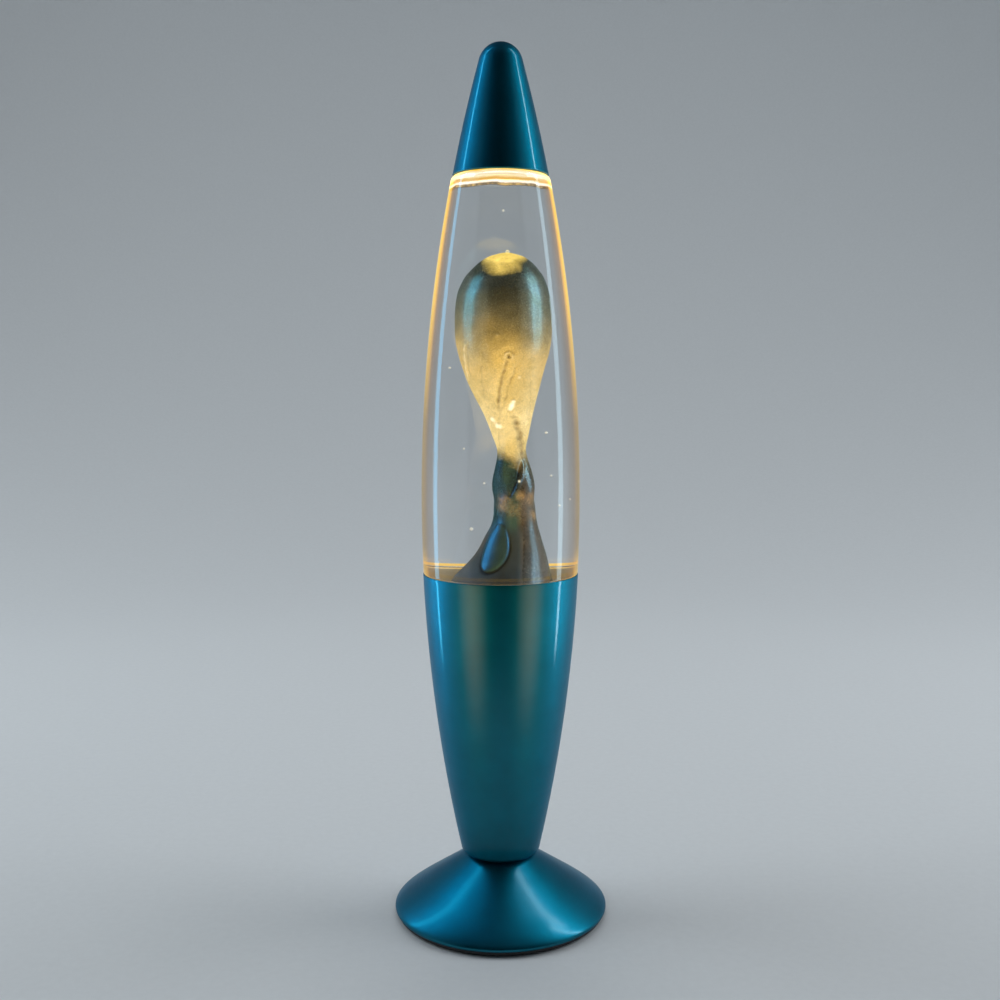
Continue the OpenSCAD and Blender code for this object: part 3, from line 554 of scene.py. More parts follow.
def pearly_wax():
    """Wax full of fine metal flake: dark and glossy from the front, with painted golden light where the bulb
    lights it and painted shade in its creases and under its waist.
    """
    n = Nodes("pearly_wax")
    spot = n.axes()
    x, z = spot["X"], spot["Z"]
    normal = n.axes(n.node("NewGeometry").outputs["Normal"])
    form, dull, through = (n.node("Attribute", attribute_name=mark).outputs["Fac"] for mark in WAX_MARKS)
    grain = n.noise(1500.0, 4.0, 0.7)
    patch = n.noise(95.0, 4.0, 0.6, distortion=0.6)
    veins = n.noise(330.0, 4.0, 0.6, distortion=1.0)
    swirl = n.noise(60.0, 2.0, 0.5)
    mottle = n.span(patch, 0.32, 0.70)
    flake = n.ramp(n.spots(1700.0), [(0.0, 1.0), (0.2, 0.0)])
    crease = n.span(form, -0.05, -0.40)
    # A border aslant across the waist: under it the wax has painted shade, darker, bluish at its left and
    # dull on the mound
    aslant = n.add(z, n.times(x, 0.6), n.vary(patch, -0.0025, 0.0025))
    above = n.span(aslant, *WAIST_BORDER)
    golden = n.mix(mottle, (0.34, 0.30, 0.17), (0.45, 0.41, 0.28))
    bluish = n.mix(mottle, (0.050, 0.125, 0.145), (0.072, 0.165, 0.188))
    neutral = n.mix(mottle, (0.250, 0.185, 0.135), (0.330, 0.250, 0.170))
    skin = n.mix(mottle, (0.060, 0.062, 0.058), (0.085, 0.087, 0.082))
    under = n.mix(dull, n.mix(n.span(x, 0.0055, 0.0085), bluish, neutral), skin)
    tone = n.mix(above, under, golden)
    tone = n.mix(n.times(flake, n.span(dull, 0.0, 1.0, 0.35, 0.05)), tone, (0.90, 0.85, 0.70))
    # Painted shade in the creases, stronger under the border
    tone = n.mix(n.times(crease, n.span(above, 0.0, 1.0, 0.85, 0.5)), tone, (0.012, 0.012, 0.010))
    soft_lobe = n.times(n.span(z, *LOBE_TOP), n.span(x, 0.0085, 0.0055, 0.0, 0.14))
    n.set(Base_Color=tone, Metallic=n.span(dull, 0.0, 1.0, 0.95, 0.15), Specular_Tint=(0.34, 0.50, 0.56, 1.0),
          Roughness=n.add(n.vary(grain, 0.19, 0.30), soft_lobe, n.span(dull, 0.0, 1.0, 0.0, 0.30)))
    # Painted light from below on the drop's underside
    lit = n.ramp(n.span(n.add(z, n.vary(swirl, -0.005, 0.005)), *DROP_GLOW), [
        (0.0, (0.45, 0.28, 0.07)),
        (0.10, (0.80, 0.54, 0.16)),
        (0.24, (0.90, 0.64, 0.24)),
        (0.42, (0.74, 0.49, 0.14)),
        (0.58, (0.66, 0.40, 0.085)),
        (0.68, (0.36, 0.225, 0.05)),
        (0.80, (0.15, 0.105, 0.030)),
        (0.90, (0.072, 0.056, 0.018)),
        (1.0, (0.027, 0.023, 0.009)),
    ])
    glow = n.mix(n.times(n.span(normal["Z"], 0.30, -0.14), above), (0.012, 0.011, 0.006), lit)
    # Painted light of the shoulder on the top
    crown = n.add(normal["Z"], n.times(normal["Y"], -0.18), n.times(n.times(normal["X"], normal["X"]), -0.30))
    crown = n.add(crown, n.vary(patch, -0.05, 0.05))
    glow = n.mix(n.times(n.span(crown, 0.58, 0.80), n.span(z, *CROWN_GLOW)), glow, (1.0, 0.70, 0.14))
    # Painted light that comes through under the waist
    glow = n.mix(n.times(through, n.span(veins, 0.34, 0.64, 0.25, 1.0)), glow, (0.46, 0.26, 0.09))
    # Painted shade in the creases, and painted glints where the lumps catch light
    glow = n.mix(n.times(crease, 0.8), glow, n.mix(above, (0.008, 0.006, 0.003), (0.20, 0.105, 0.022)))
    glow = n.mix(n.span(form, 0.10, 0.46, 0.0, 0.95), glow, (1.0, 0.88, 0.58))
    uneven = n.add(n.span(patch, 0.25, 0.75, 0.82, 1.12), n.vary(veins, -0.12, 0.12),
                   n.span(form, 0.10, 0.50, 0.0, 0.5), n.vary(grain, -0.10, 0.10))
    n.set(Emission_Color=glow, Emission_Strength=uneven)
    n.bump(patch, 0.08, 0.0005)
    return n.bump(grain, 0.13, 0.0001).mat


# Painted light: a pale colour and a faint glow stand for the light that the bubbles throw back
def air_bubble():
    n = Nodes("air_bubble")
    spot = n.noise(2500.0, 2.0, 0.5)
    n.set(Base_Color=n.mix(n.vary(spot), (0.80, 0.78, 0.72), (0.62, 0.60, 0.56)), Roughness=0.15,
          Emission_Color=(0.72, 0.66, 0.55, 1.0), Emission_Strength=0.7)
    return n.mat


def bulb_front():
    n = Nodes("bulb_frosted_front")
    frost = n.noise(900.0, 2.0, 0.6)
    glow = n.ramp(n.span(n.axes()["Z"], *BULB_GLOW), [
        (0.0, (1.0, 0.55, 0.18)), (0.6, (1.0, 0.74, 0.38)), (1.0, (1.0, 0.86, 0.60))])
    n.set(Base_Color=(0.95, 0.90, 0.80, 1.0), Roughness=n.vary(frost, 0.35, 0.5),
          Emission_Color=glow, Emission_Strength=1.0)
    return n.bump(frost, 0.2, 0.0001).mat


glass_out = bottle_glass("bottle_glass_outer", True)
glass_in = bottle_glass("bottle_glass_inner", False)
liquid_mat = clear_liquid()
wax_mat = pearly_wax()
sleeve_in = sleeve_inside_material()
inner_metal = plain("bare_aluminium_inside", (0.42, 0.42, 0.41), (0.33, 0.34, 0.34), 0.42, metallic=1.0)
black_rubber = plain("black_rubber", (0.016, 0.016, 0.017), (0.026, 0.026, 0.027), 0.62)
black_foam = plain("black_foam", (0.014, 0.014, 0.014), (0.026, 0.026, 0.025), 0.92,
                   grain=2600.0, bump=0.6, depth=0.0004)
black_plate = plain("black_moulded_plate", (0.016, 0.016, 0.018), (0.022, 0.022, 0.024), 0.5,
                    grain=1600.0, bump=0.3)
black_plastic = plain("black_moulded_plastic", (0.018, 0.019, 0.021), (0.026, 0.027, 0.029), 0.38,
                      grain=1400.0)
phenolic = plain("black_phenolic", (0.020, 0.018, 0.016), (0.030, 0.026, 0.022), 0.30, grain=700.0)
porcelain = plain("porcelain", (0.80, 0.77, 0.70), (0.72, 0.69, 0.61), 0.22, grain=500.0, coat=0.4)
zinc = plain("zinc_plated_steel", (0.58, 0.58, 0.56), (0.46, 0.47, 0.46), 0.34, metallic=1.0)
brass = plain("contact_brass", (0.72, 0.53, 0.20), (0.55, 0.38, 0.13), 0.32, metallic=1.0)
stem_brass = plain("stem_brass", (0.52, 0.40, 0.17), (0.38, 0.28, 0.11), 0.40, metallic=1.0)
block_plastic = plain("ivory_block_plastic", (0.76, 0.73, 0.65), (0.68, 0.64, 0.55), 0.45)
brown_pvc = plain("brown_insulation", (0.20, 0.085, 0.035), (0.25, 0.11, 0.05), 0.36)
blue_pvc = plain("blue_insulation", (0.035, 0.11, 0.42), (0.05, 0.15, 0.5), 0.36)
bulb_silver = plain("bulb_mirror_coat", (0.80, 0.77, 0.70), (0.70, 0.66, 0.58), 0.16,
                    grain=300.0, metallic=1.0, coat=0.6)
bulb_metal = plain("bulb_cap_aluminium", (0.68, 0.68, 0.66), (0.55, 0.55, 0.53), 0.30, metallic=1.0)
black_glass = plain("bulb_black_glass", (0.012, 0.012, 0.014), (0.022, 0.022, 0.025), 0.12, grain=400.0)
solder = plain("dull_solder", (0.60, 0.60, 0.58), (0.44, 0.44, 0.42), 0.45, metallic=1.0, bump=0.4)
stem_glass = plain("bulb_stem_glass", (0.80, 0.86, 0.86), (0.72, 0.78, 0.78), 0.08, grain=200.0)
tungsten = plain("tungsten_wire", (0.55, 0.50, 0.42), (0.42, 0.36, 0.28), 0.4, metallic=1.0)
liner_mat = plain("soft_liner", (0.80, 0.78, 0.70), (0.70, 0.68, 0.60), 0.6)
crown_mat = plain("lacquered_crown", (0.62, 0.45, 0.15), (0.50, 0.35, 0.11), 0.30, metallic=1.0, coat=0.6)
coil_steel = plain("drawn_coil_wire", (0.50, 0.50, 0.51), (0.38, 0.38, 0.39), 0.34, metallic=1.0)

for name, mat in {
    "base_plate": black_plate, "base_pad": black_foam, "base_screws": zinc, "stem": stem_brass,
    "stem_nut": zinc, "tooth_washer": zinc, "neck_washer": black_rubber, "holder_cover": phenolic,
    "holder_core": porcelain, "holder_skirt": phenolic, "screw_shell": brass, "middle_contact": brass,
    "terminal_block": block_plastic, "block_screws": zinc, "live_lead": brown_pvc, "neutral_lead": blue_pvc,
    "bulb_insulator": black_glass, "bulb_contact": solder, "bulb_stem": stem_glass, "bulb_filament": tungsten,
    "crown_liner": liner_mat, "heat_coil": coil_steel,
}.items():
    for s in nodes[name].material_slots:
        s.material = mat


# Foot

def foot_outline():
    slope = (FOOT_H - FOOT_CORNER_Z) / (FOOT_R - FOOT_TOP_R)
    round_r = FOOT_R - FOOT_ROUND_W
    a = Vector((round_r, FOOT_H - slope * (round_r - FOOT_TOP_R)))
    b = Vector((FOOT_R, FOOT_CORNER_Z))
    c = Vector((FOOT_R, PLATE_TOP_Z + SKIN + 0.5))
    path = fillet([(STEM_HOLE_R, FOOT_H), (FOOT_TOP_R, FOOT_H), tuple(a)], {1: EDGE_R})[:-1]
    start = Vector(path[-1])
    path += [tuple(start.lerp(a, k / 10)) for k in range(1, 10)]
    hem = arc((FOOT_R - EDGE_R, PLATE_TOP_Z + EDGE_R), EDGE_R, 0, -90, 5)
    return path + bend(a, b, c, 24) + hem + [(FOOT_R - HEM_W, PLATE_TOP_Z)]


def bush_section(grow):
    """The bushing's arch seen along the cord, as a radius over the angle from the middle of its bore."""
    w = BUSH_R + grow
    def radius(a):
        x, z = math.cos(a), math.sin(a)
        if z >= 0:
            return w
        return min(w / max(abs(x), 1e-6), BUSH_R / max(abs(z), 1e-6))
    return radius


def bush_loops(bm, loops):
    """Closes loops of (distance along Y, radius over angle) round the cord's axis into one skin."""
    n = 72
    rings = []
    for y, radius in loops:
        rings.append([
            bm.verts.new((radius(a) * math.cos(a) * MM, y * MM, (BUSH_MID_Z + radius(a) * math.sin(a)) * MM))
            for a in (2 * math.pi * i / n for i in range(n))])
    add_rings(bm, rings, True)


BUSH_IN_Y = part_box("cord_bushing")[0][1] / MM + FLANGE_T

foot_path = foot_outline()
foot = lathe("foot_shell", foot_path + inset(foot_path, SKIN)[::-1], 192)
cut = bmesh.new()
notch = bush_section(CLEAR)
axis = lambda a: 0.01
bush_loops(cut, [(BUSH_IN_Y, axis), (BUSH_IN_Y, notch), (FOOT_R + 1, notch), (FOOT_R + 1, axis)])
low = [v for v in cut.verts if v.co.z < (PLATE_TOP_Z + 0.2) * MM]
bmesh.ops.translate(cut, verts=low, vec=(0, 0, -MM))
bmesh.ops.recalc_face_normals(cut, faces=cut.faces)
cutter = new_object("foot_cutter", cut)
boolean = foot.modifiers.new("notch", "BOOLEAN")
boolean.object = cutter
boolean.solver = "EXACT"
apply_modifiers(foot)
bpy.data.objects.remove(cutter)
foot.data.set_sharp_from_angle(angle=math.radians(30))
paint(foot, foot_metal, inner_metal, rule=lambda f: 1 if f.normal.z < -0.35 and f.center.z > 4 * MM else 0)
place(foot, "base", "foot")

# Cord bushing, its mouth and arch rounded
bm = bmesh.new()
full, flange = bush_section(0.0), bush_section(BUSH_FLANGE)


def bore(extra):
    return lambda a: CORD_BORE_R + extra


def shrunk(radius, d):
    return lambda a: radius(a) - d


bush_loops(bm, [
    (BUSH_IN_Y - FLANGE_T, bore(0.35)), (BUSH_IN_Y - 1.7, bore(0.0)),
    (FOOT_R - 1.0, bore(0.0)), (FOOT_R - 0.5, bore(0.18)), (FOOT_R - 0.15, bore(0.5)), (FOOT_R, bore(0.9)),
    (FOOT_R, shrunk(full, 0.7)), (FOOT_R - 0.2, shrunk(full, 0.22)), (FOOT_R - 0.7, full),
    (BUSH_IN_Y, full), (BUSH_IN_Y, flange), (BUSH_IN_Y - 1.6, flange),
    (BUSH_IN_Y - FLANGE_T, shrunk(flange, 0.4)),
])
bmesh.ops.recalc_face_normals(bm, faces=bm.faces)
bushing = paint(new_object("cord_bushing_arch", bm), black_plastic)
place(bushing, "base", "cord_bushing")

# Sleeve

def sleeve_path(t):
    mid, angle, side_z = corner(SLEEVE_Z + SLEEVE_CORNER_R, t, SLEEVE_CORNER_R - t)
    return ([(STEM_HOLE_R, SLEEVE_Z + t)] + arc(mid, SLEEVE_CORNER_R - t, -90, angle, 10)
            + side(side_z, RIM_Z - SKIN / 2, t, 56)[1:])


outer, inner = sleeve_path(0), sleeve_path(SKIN)
rim_mid = ((outer[-1][0] + inner[-1][0]) / 2, RIM_Z - SKIN / 2)
sleeve = lathe("sleeve_shell", outer + arc(rim_mid, SKIN / 2, 0, 180, 8)[1:-1] + inner[::-1], 224)
paint(sleeve, blue_metal, sleeve_in,
      rule=lambda f: 1 if inward(f) or (f.normal.z > 0.3 and f.center.z < 0.1) else 0)
place(sleeve, "base", "sleeve")

# Cap

cap_foot = Vector((side_r(CAP_RIM_Z, CAP_INSET), CAP_RIM_Z))
tilt = math.asin((CAP_RIM_Z - WIDEST_Z) / (CURVE_R - CAP_INSET))
cap_normal = Vector((math.cos(tilt), math.sin(tilt)))
tip_mid = Vector((0, LAMP_H - TIP_R))
reach = cap_foot - tip_mid
cap_curve_r = (reach.length_squared - TIP_R ** 2) / (2 * (cap_normal.dot(reach) - TIP_R))
cap_mid = cap_foot - cap_normal * cap_curve_r
tip_a = math.degrees(math.atan2(tip_mid.y - cap_mid.y, tip_mid.x - cap_mid.x))


def cap_path(z0, t):
    a = math.degrees(math.asin((z0 - cap_mid.y) / (cap_curve_r - t)))
    return (arc(cap_mid, cap_curve_r - t, a, tip_a, 30)[:-1]
            + arc(tip_mid, TIP_R - t, tip_a, 90, 18)[:-1] + [(0, LAMP_H - t)])


hem_r = cap_foot.x - CAP_HEM_W
cap_profile = ([(hem_r, CAP_RIM_Z + SKIN), (hem_r, CAP_RIM_Z)]
               + arc((cap_foot.x - 0.5, CAP_RIM_Z + 0.5), 0.5, -90, 0, 5)
               + cap_path(CAP_RIM_Z + 0.6, 0) + cap_path(CAP_RIM_Z + SKIN, SKIN)[::-1])
cap = lathe("top_cap_shell", cap_profile, 192)
paint(cap, blue_metal, inner_metal,
      rule=lambda f: 1 if inward(f) or (f.normal.z < -0.3 and f.center.z > 0.352) else 0)
place(cap, "cap", "top_cap")

# Bottle

heel_mid, heel_a, heel_end = corner(BOTTLE_Z + HEEL_R, BOTTLE_INSET, HEEL_R)
shoulder_mid, shoulder_a, shoulder_start = corner(SHOULDER_Z - SHOULDER_R, FLUSH_INSET, SHOULDER_R)
ceiling_mid, ceiling_a, ceiling_start = corner(CEILING_Z - CEILING_R, INNER_INSET, CEILING_R)
inner_mid, inner_a, inner_start = corner(FLOOR_Z + INNER_CORNER_R, INNER_INSET, INNER_CORNER_R)
crown_top = cap_mid.y + math.sqrt((cap_curve_r - SKIN) ** 2 - (CROWN_R + CROWN_CLEAR - cap_mid.x) ** 2)
mouth_z = crown_top - CROWN_T - LINER_T
bead_r = CROWN_R - CROWN_T - CLEAR - 0.8
ledge_z = RIM_Z + SEAT_GAP

bottle_outside = (
    [(heel_mid[0] * i / 16, BOTTLE_Z + PUNT_H * (1 - (i / 16) ** 2)) for i in range(17)]
    + arc(heel_mid, HEEL_R, -84, heel_a, 10)
    + side(heel_end, ledge_z - 0.05, BOTTLE_INSET, 14)[1:]
    + fillet([(side_r(ledge_z, BOTTLE_INSET), ledge_z), (side_r(ledge_z, FLUSH_INSET), ledge_z),
              (side_r(ledge_z + 2, FLUSH_INSET), ledge_z + 2)], {1: 0.5})
    + side(ledge_z + 2, shoulder_start, FLUSH_INSET, 70)[1:]
    + arc(shoulder_mid, SHOULDER_R, shoulder_a, 90, 10)[1:]
    + arc((NECK_R + 2, SHOULDER_Z + 2), 2, 270, 180, 6)
    + fillet([(NECK_R, SHOULDER_Z + 2), (NECK_R, mouth_z - BEAD_H - 1), (bead_r, mouth_z - BEAD_H),
              (bead_r, mouth_z), (NECK_BORE_R, mouth_z)], {1: 0.5, 2: 0.5, 3: 1.3})[1:-1])
bottle_inside = (
    fillet([(bead_r - 2, mouth_z), (NECK_BORE_R, mouth_z), (NECK_BORE_R, CEILING_Z),
            (ceiling_mid[0], CEILING_Z)], {1: 0.7, 2: 1.0})[1:-1]
    + arc(ceiling_mid, CEILING_R, 90, ceiling_a, 8)
    + side(inner_start, ceiling_start, INNER_INSET, 70)[::-1][1:]
    + arc(inner_mid, INNER_CORNER_R, inner_a, -90, 8)[1:] + [(0, FLOOR_Z)])
bottle = lathe("bottle_shell", bottle_outside + bottle_inside, 256)
paint(bottle, glass_out, glass_in,
      rule=lambda f: 1 if inward(f) or f.center.z > 0.3512 or (f.normal.z > 0.5 and f.center.z < 0.15) else 0)
place(bottle, "globe", "bottle")

# Liquid: it meets the glass without a film of air, and holds a few small bubbles

FILM = 0.05
# Air bubbles: place of the middle, and radius
BUBBLES = (
    (1.0, -14, 332.0, 0.55), (-14, -12, 226.0, 0.45), (-6.5, -20, 211.0, 0.5), (-11.5, -17, 190.0, 0.75),
    (19, -8, 213.5, 0.5), (22, -6, 199.5, 0.5), (26, -3, 202.0, 0.5), (9, 12, 288.0, 0.5),
    (-16, 10, 262.0, 0.45), (14, 14, 232.0, 0.5),
)
edge_a = math.degrees(math.asin((LIQUID_Z - ceiling_mid[1]) / (CEILING_R + FILM)))
bm = bmesh.new()
add_lathe(bm, [(0, POOL_Z + 0.1)] + side(POOL_Z + 0.1, ceiling_start, INNER_INSET - FILM, 70)
          + arc(ceiling_mid, CEILING_R + FILM, ceiling_a, edge_a, 6)[1:] + [(0, LIQUID_Z)], 256, closed=False)
bmesh.ops.recalc_face_normals(bm, faces=bm.faces)
for x, y, z, r in BUBBLES:
    ball = bmesh.ops.create_icosphere(bm, subdivisions=2, radius=r * MM)
    bmesh.ops.translate(bm, verts=ball["verts"], vec=(x * MM, y * MM, z * MM))
    faces = list({f for v in ball["verts"] for f in v.link_faces})
    bmesh.ops.reverse_faces(bm, faces=faces)
    for f in faces:
        f.material_index = 1
liquid = paint(new_object("liquid_body", bm, 40), liquid_mat, air_bubble())
place(liquid, "globe", "liquid")

# Wax: the source's column with the folds, creases and hanging lobe of the photograph

mound_r, waist_r, waist_h, lean = 25.0, 5.3, 87.0, 4.8
drop_r, drop_h, top_h = 16.6, 145.0, 178.0
dome_h = top_h - drop_h
STATIONS = [Vector(s) for s in (
    (POOL_H - 3, mound_r, 0, 0),
    (POOL_H + 5, mound_r * 0.86, 0.05 * lean, 0),
    (POOL_H + 14, mound_r * 0.7, 0.1 * lean, 0.5),
    (waist_h * 0.46, drop_r * 0.75, 0.66 * lean, 1),
    (waist_h * 0.56, drop_r * 0.58, 0.86 * lean, 1),
    (waist_h * 0.66, drop_r * 0.45, 1.02 * lean, 1),
    (waist_h * 0.82, waist_r * 1.32, 0.94 * lean, 0.5),
    (waist_h, waist_r, 0.78 * lean, 0),
    (drop_h - 42, drop_r * 0.48, 0.58 * lean, -0.5),
    (drop_h - 23, drop_r * 0.8, 0.25 * lean, -0.5),
    (drop_h - 9, drop_r * 0.98, 0.2 * lean, 0),
    (drop_h + 3, drop_r, 0.2 * lean, 0),
    (drop_h + dome_h * 0.42, drop_r * 0.955, 0.2 * lean, 0),
    (drop_h + dome_h * 0.58, drop_r * 0.875, 0.23 * lean, 0),
    (drop_h + dome_h * 0.71, drop_r * 0.77, 0.28 * lean, 0),
    (drop_h + dome_h * 0.87, drop_r * 0.54, 0.36 * lean, 0),
    (drop_h + dome_h * 0.955, drop_r * 0.33, 0.4 * lean, 0),
    (top_h, drop_r * 0.08, 0.42 * lean, 0),
)]


def smooth(stations, spacing):
    """A curve through the stations with points about spacing apart."""
    out = []
    for i in range(len(stations) - 1):
        a, b = stations[max(i - 1, 0)], stations[i]
        c, d = stations[i + 1], stations[min(i + 2, len(stations) - 1)]
        steps = math.ceil(max(c[0] - b[0], abs(c[1] - b[1])) / spacing)
        for k in range(steps):
            t = k / steps
            pull = 2 * a - 5 * b + 4 * c - d + (3 * (b - c) + d - a) * t
            out.append(b + (c - a + pull * t) * (0.5 * t))
    return out + [stations[-1]]


def window(z, lo, hi, soft):
    """1 between lo and hi, falling to 0 over soft outside them."""
    def step(v):
        v = min(max(v, 0.0), 1.0)
        return v * v * (3 - 2 * v)
    return step((z - lo) / soft + 1) * step((hi - z) / soft + 1)


def turn(a, b):
    """Angle from b to a in degrees, between -180 and 180."""
    return (a - b + 180) % 360 - 180


# Creases that run down the drop, and a ridge beside one: angle at a height, that height,
# drift in degrees per millimetre, depth, half width, low and high end
CREASES = (
    (275.0, 264.5, 1.23, 0.40, 0.80, 247.0, 264.0),
    (283.5, 258.0, 1.5, 0.30, 0.70, 248.0, 259.0),
    (284.0, 241.2, -2.2, 0.40, 1.50, 225.0, 238.0),
    (262.0, 247.0, 2.0, 0.18, 0.50, 228.0, 240.0),
    (240.0, 268.0, 0.9, 0.16, 0.60, 252.0, 268.0),
    (320.0, 256.0, -1.1, 0.16, 0.60, 244.0, 258.0),
    (206.0, 268.0, 0.9, -0.27, 0.75, 260.0, 271.0),
    (213.0, 268.0, 0.9, 0.24, 0.60, 259.0, 270.0),
    (60.0, 250.0, 0.8, 0.40, 0.6, 232.0, 264.0),
    (130.0, 246.0, -0.7, 0.40, 0.6, 232.0, 258.0),
)
# Small lumps: angle, height, how far they stand out, radius
LUMPS = (
    (277.0, 243.6, 0.42, 1.0), (281.0, 245.4, 0.50, 1.2), (285.0, 247.2, 0.40, 1.0),
    (240.0, 236.0, 0.52, 1.5), (226.0, 239.0, 0.45, 1.2), (262.0, 277.0, 0.14, 1.2),
    (296.0, 258.0, 0.25, 1.0), (289.0, 211.0, 0.50, 0.8), (80.0, 252.0, 0.35, 1.0),
    (120.0, 238.0, 0.35, 0.9),
)
# Places under the waist with painted light for the bulb's light that comes through: angle, height, radius,
# strength
THIN_PLACES = (
    (240.0, 201.0, 3.4, 0.85), (268.0, 198.0, 3.0, 0.5), (291.0, 204.0, 2.0, 0.9), (329.0, 203.0, 2.6, 0.9),
    (338.0, 195.0, 2.4, 0.6), (50.0, 201.0, 2.5, 0.7), (150.0, 203.0, 2.5, 0.7),
)


# The lobe at the front of the mound: angle, height, half its width and half its height
LOBE_DEG, LOBE_Z, LOBE_W, LOBE_H = 239, 180.5, 5.4, 11.0
# The diagonal fold under the waist: angle at a height, that height, drift, low and high end
FOLD_DEG, FOLD_Z, FOLD_DRIFT, FOLD_LOW, FOLD_HIGH = 292, 212, 3.6, 207, 216
# The dimple at the front of the drop: angle and height
DIMPLE_DEG, DIMPLE_Z = 278, 267.5


def along(deg, from_deg, r):
    """Distance round the column from an angle."""
    return turn(deg, from_deg) * r * math.pi / 180


def bell(distance, width):
    return math.exp(-(distance / width) ** 2)


def lobe(deg, z, r):
    """0 in the middle of the lobe, 1 on its outline."""
    s, h = along(deg, LOBE_DEG, r), z - LOBE_Z
    return ((s + 0.12 * h) / (LOBE_W - 0.10 * h)) ** 2 + (h / LOBE_H) ** 2


def fold(deg, z, r):
    """Distance from the middle of the diagonal fold."""
    return along(deg, FOLD_DEG - FOLD_DRIFT * (FOLD_Z - z), r)


def wax_marks(deg, z, r):
    """Depth of the creases and rise of the lumps, in millimetres."""
    d = 0.0
    for a0, z0, drift, depth, half, lo, hi in CREASES:
        wander = 0.7 * noise.noise(Vector((a0, z * 0.35, 0.0)))
        depth *= 0.75 + 0.5 * noise.noise(Vector((a0, z * 0.6, 5.0)))
        d -= depth * bell(along(deg, a0 + drift * (z - z0), r) + wander, half) * window(z, lo, hi, 7)
    for a0, z0, rise, radius in LUMPS:
        d += rise * bell(math.hypot(along(deg, a0, r), z - z0), radius)
    # The dimple has a fold round it
    q = math.hypot(along(deg, DIMPLE_DEG, r), z - DIMPLE_Z)
    d += 0.19 * bell(q - 1.5, 0.7) - 0.45 * bell(q, 0.55)
    d -= 0.45 * bell(fold(deg, z, r) + 0.5, 0.5) * window(z, FOLD_LOW, FOLD_HIGH, 5)
    # The groove round the lobe
    return d - 0.5 * bell(lobe(deg, z, r) - 1.08, 0.14) * window(z, 168, 181, 6)


def wax_relief(deg, z, r):
    """How far the wax stands out of its smooth column, marks left out, in millimetres."""
    angle = math.radians(deg)
    x, y = math.cos(angle), math.sin(angle)
    uneven = 0.30 * noise.noise(Vector((x * 1.5, y * 1.5, z * 0.05)))
    uneven += 0.05 * noise.noise(Vector((x * 5, y * 5, z * 0.2 + 7)))
    # The waist is twisted
    twist = 0.10 * r * math.cos(2 * (angle - math.radians(6.0 * (z - FOLD_Z)))) * window(z, 206, 224, 8)
    ridge = 0.35 * bell(fold(deg, z, r) - 0.8, 0.8) * window(z, FOLD_LOW, FOLD_HIGH, 5)
    d = uneven * window(z, 160, 290, 8) + twist + ridge
    # The lobe that hangs down the front of the mound
    e = lobe(deg, z, r)
    return d + (1.9 * math.sqrt(1 - e) if e < 1 else 0.0)


def wax_through(deg, z, r):
    """How much painted light of the bulb comes through, 0 to 1."""
    lit = 0.0
    for a0, z0, radius, strength in THIN_PLACES:
        lit = max(lit, strength * bell(math.hypot(along(deg, a0, r), z - z0), radius))
    return lit


def wax_dull(deg, z, r, x):
    """1 on the mound's dull skin, which also takes a dark painted shade, 0 on its lobe, its right side and
    above it.
    """
    return window(z, 0, 184, 8) * window(x, -99, 6, 3) * min(max(lobe(deg, z, r) * 4 - 3.4, 0.0), 1.0)


bm = bmesh.new()
form, dull, through = (bm.verts.layers.float.new(mark) for mark in WAX_MARKS)
pool_inset = INNER_INSET + CLEAR
(pool_r, pool_z), pool_a, _ = corner(FLOOR_Z + INNER_CORNER_R, pool_inset, INNER_CORNER_R)
add_lathe(bm, [(0, FLOOR_Z + CLEAR)]
          + arc((pool_r, pool_z + CLEAR), INNER_CORNER_R, -90, pool_a, 8)
          + side(pool_z + 3.2, POOL_Z, pool_inset, 10) + [(0, POOL_Z)], 128, closed=False)
WAX_SIDES = 208
rings = []
for h, r, x, y in smooth(STATIONS, 0.42):
    z = FLOOR_Z + h
    ring = []
    for i in range(WAX_SIDES):
        a = 2 * math.pi * i / WAX_SIDES
        deg = math.degrees(a)
        marks = wax_marks(deg, z, r)
        q = r + (wax_relief(deg, z, r) + marks if h < top_h - 3 else 0.0)
        v = bm.verts.new(((x + q * math.cos(a)) * MM, (y + q * math.sin(a)) * MM, z * MM))
        v[form] = marks
        v[dull] = wax_dull(deg, z, r, x + q * math.cos(a))
        v[through] = wax_through(deg, z, r)
        ring.append(v)
    rings.append(ring)


def wax_end(station, rise):
    h, _, x, y = station
    return [bm.verts.new((x * MM, y * MM, (FLOOR_Z + h + rise) * MM))]


add_rings(bm, [wax_end(STATIONS[0], 0.0)] + rings + [wax_end(STATIONS[-1], 0.15)], False)
bmesh.ops.recalc_face_normals(bm, faces=bm.faces)
nub = bmesh.ops.create_icosphere(bm, subdivisions=3, radius=0.75 * MM)
bmesh.ops.translate(bm, verts=nub["verts"], vec=(2.3 * MM, -0.4 * MM, (FLOOR_Z + top_h + 0.5) * MM))
# The nub's form mark gives it a painted glint
for v in nub["verts"]:
    v[form] = 0.30
wax = paint(new_object("wax_column", bm, 180), wax_mat)
place(wax, "globe", "wax")

# Crown cap: a pressed lid with a crimped skirt

lid_r = CROWN_R - 1.1


def crimp(a, r, z):
    w = min(max((crown_top - 1.0 - z) / (CROWN_H - 1.0), 0.0), 1.0)
    return r - 0.5 * w * (1 - math.cos(CROWN_TEETH * a)) * (0.9 if r > bead_r + 0.5 else 0.0)


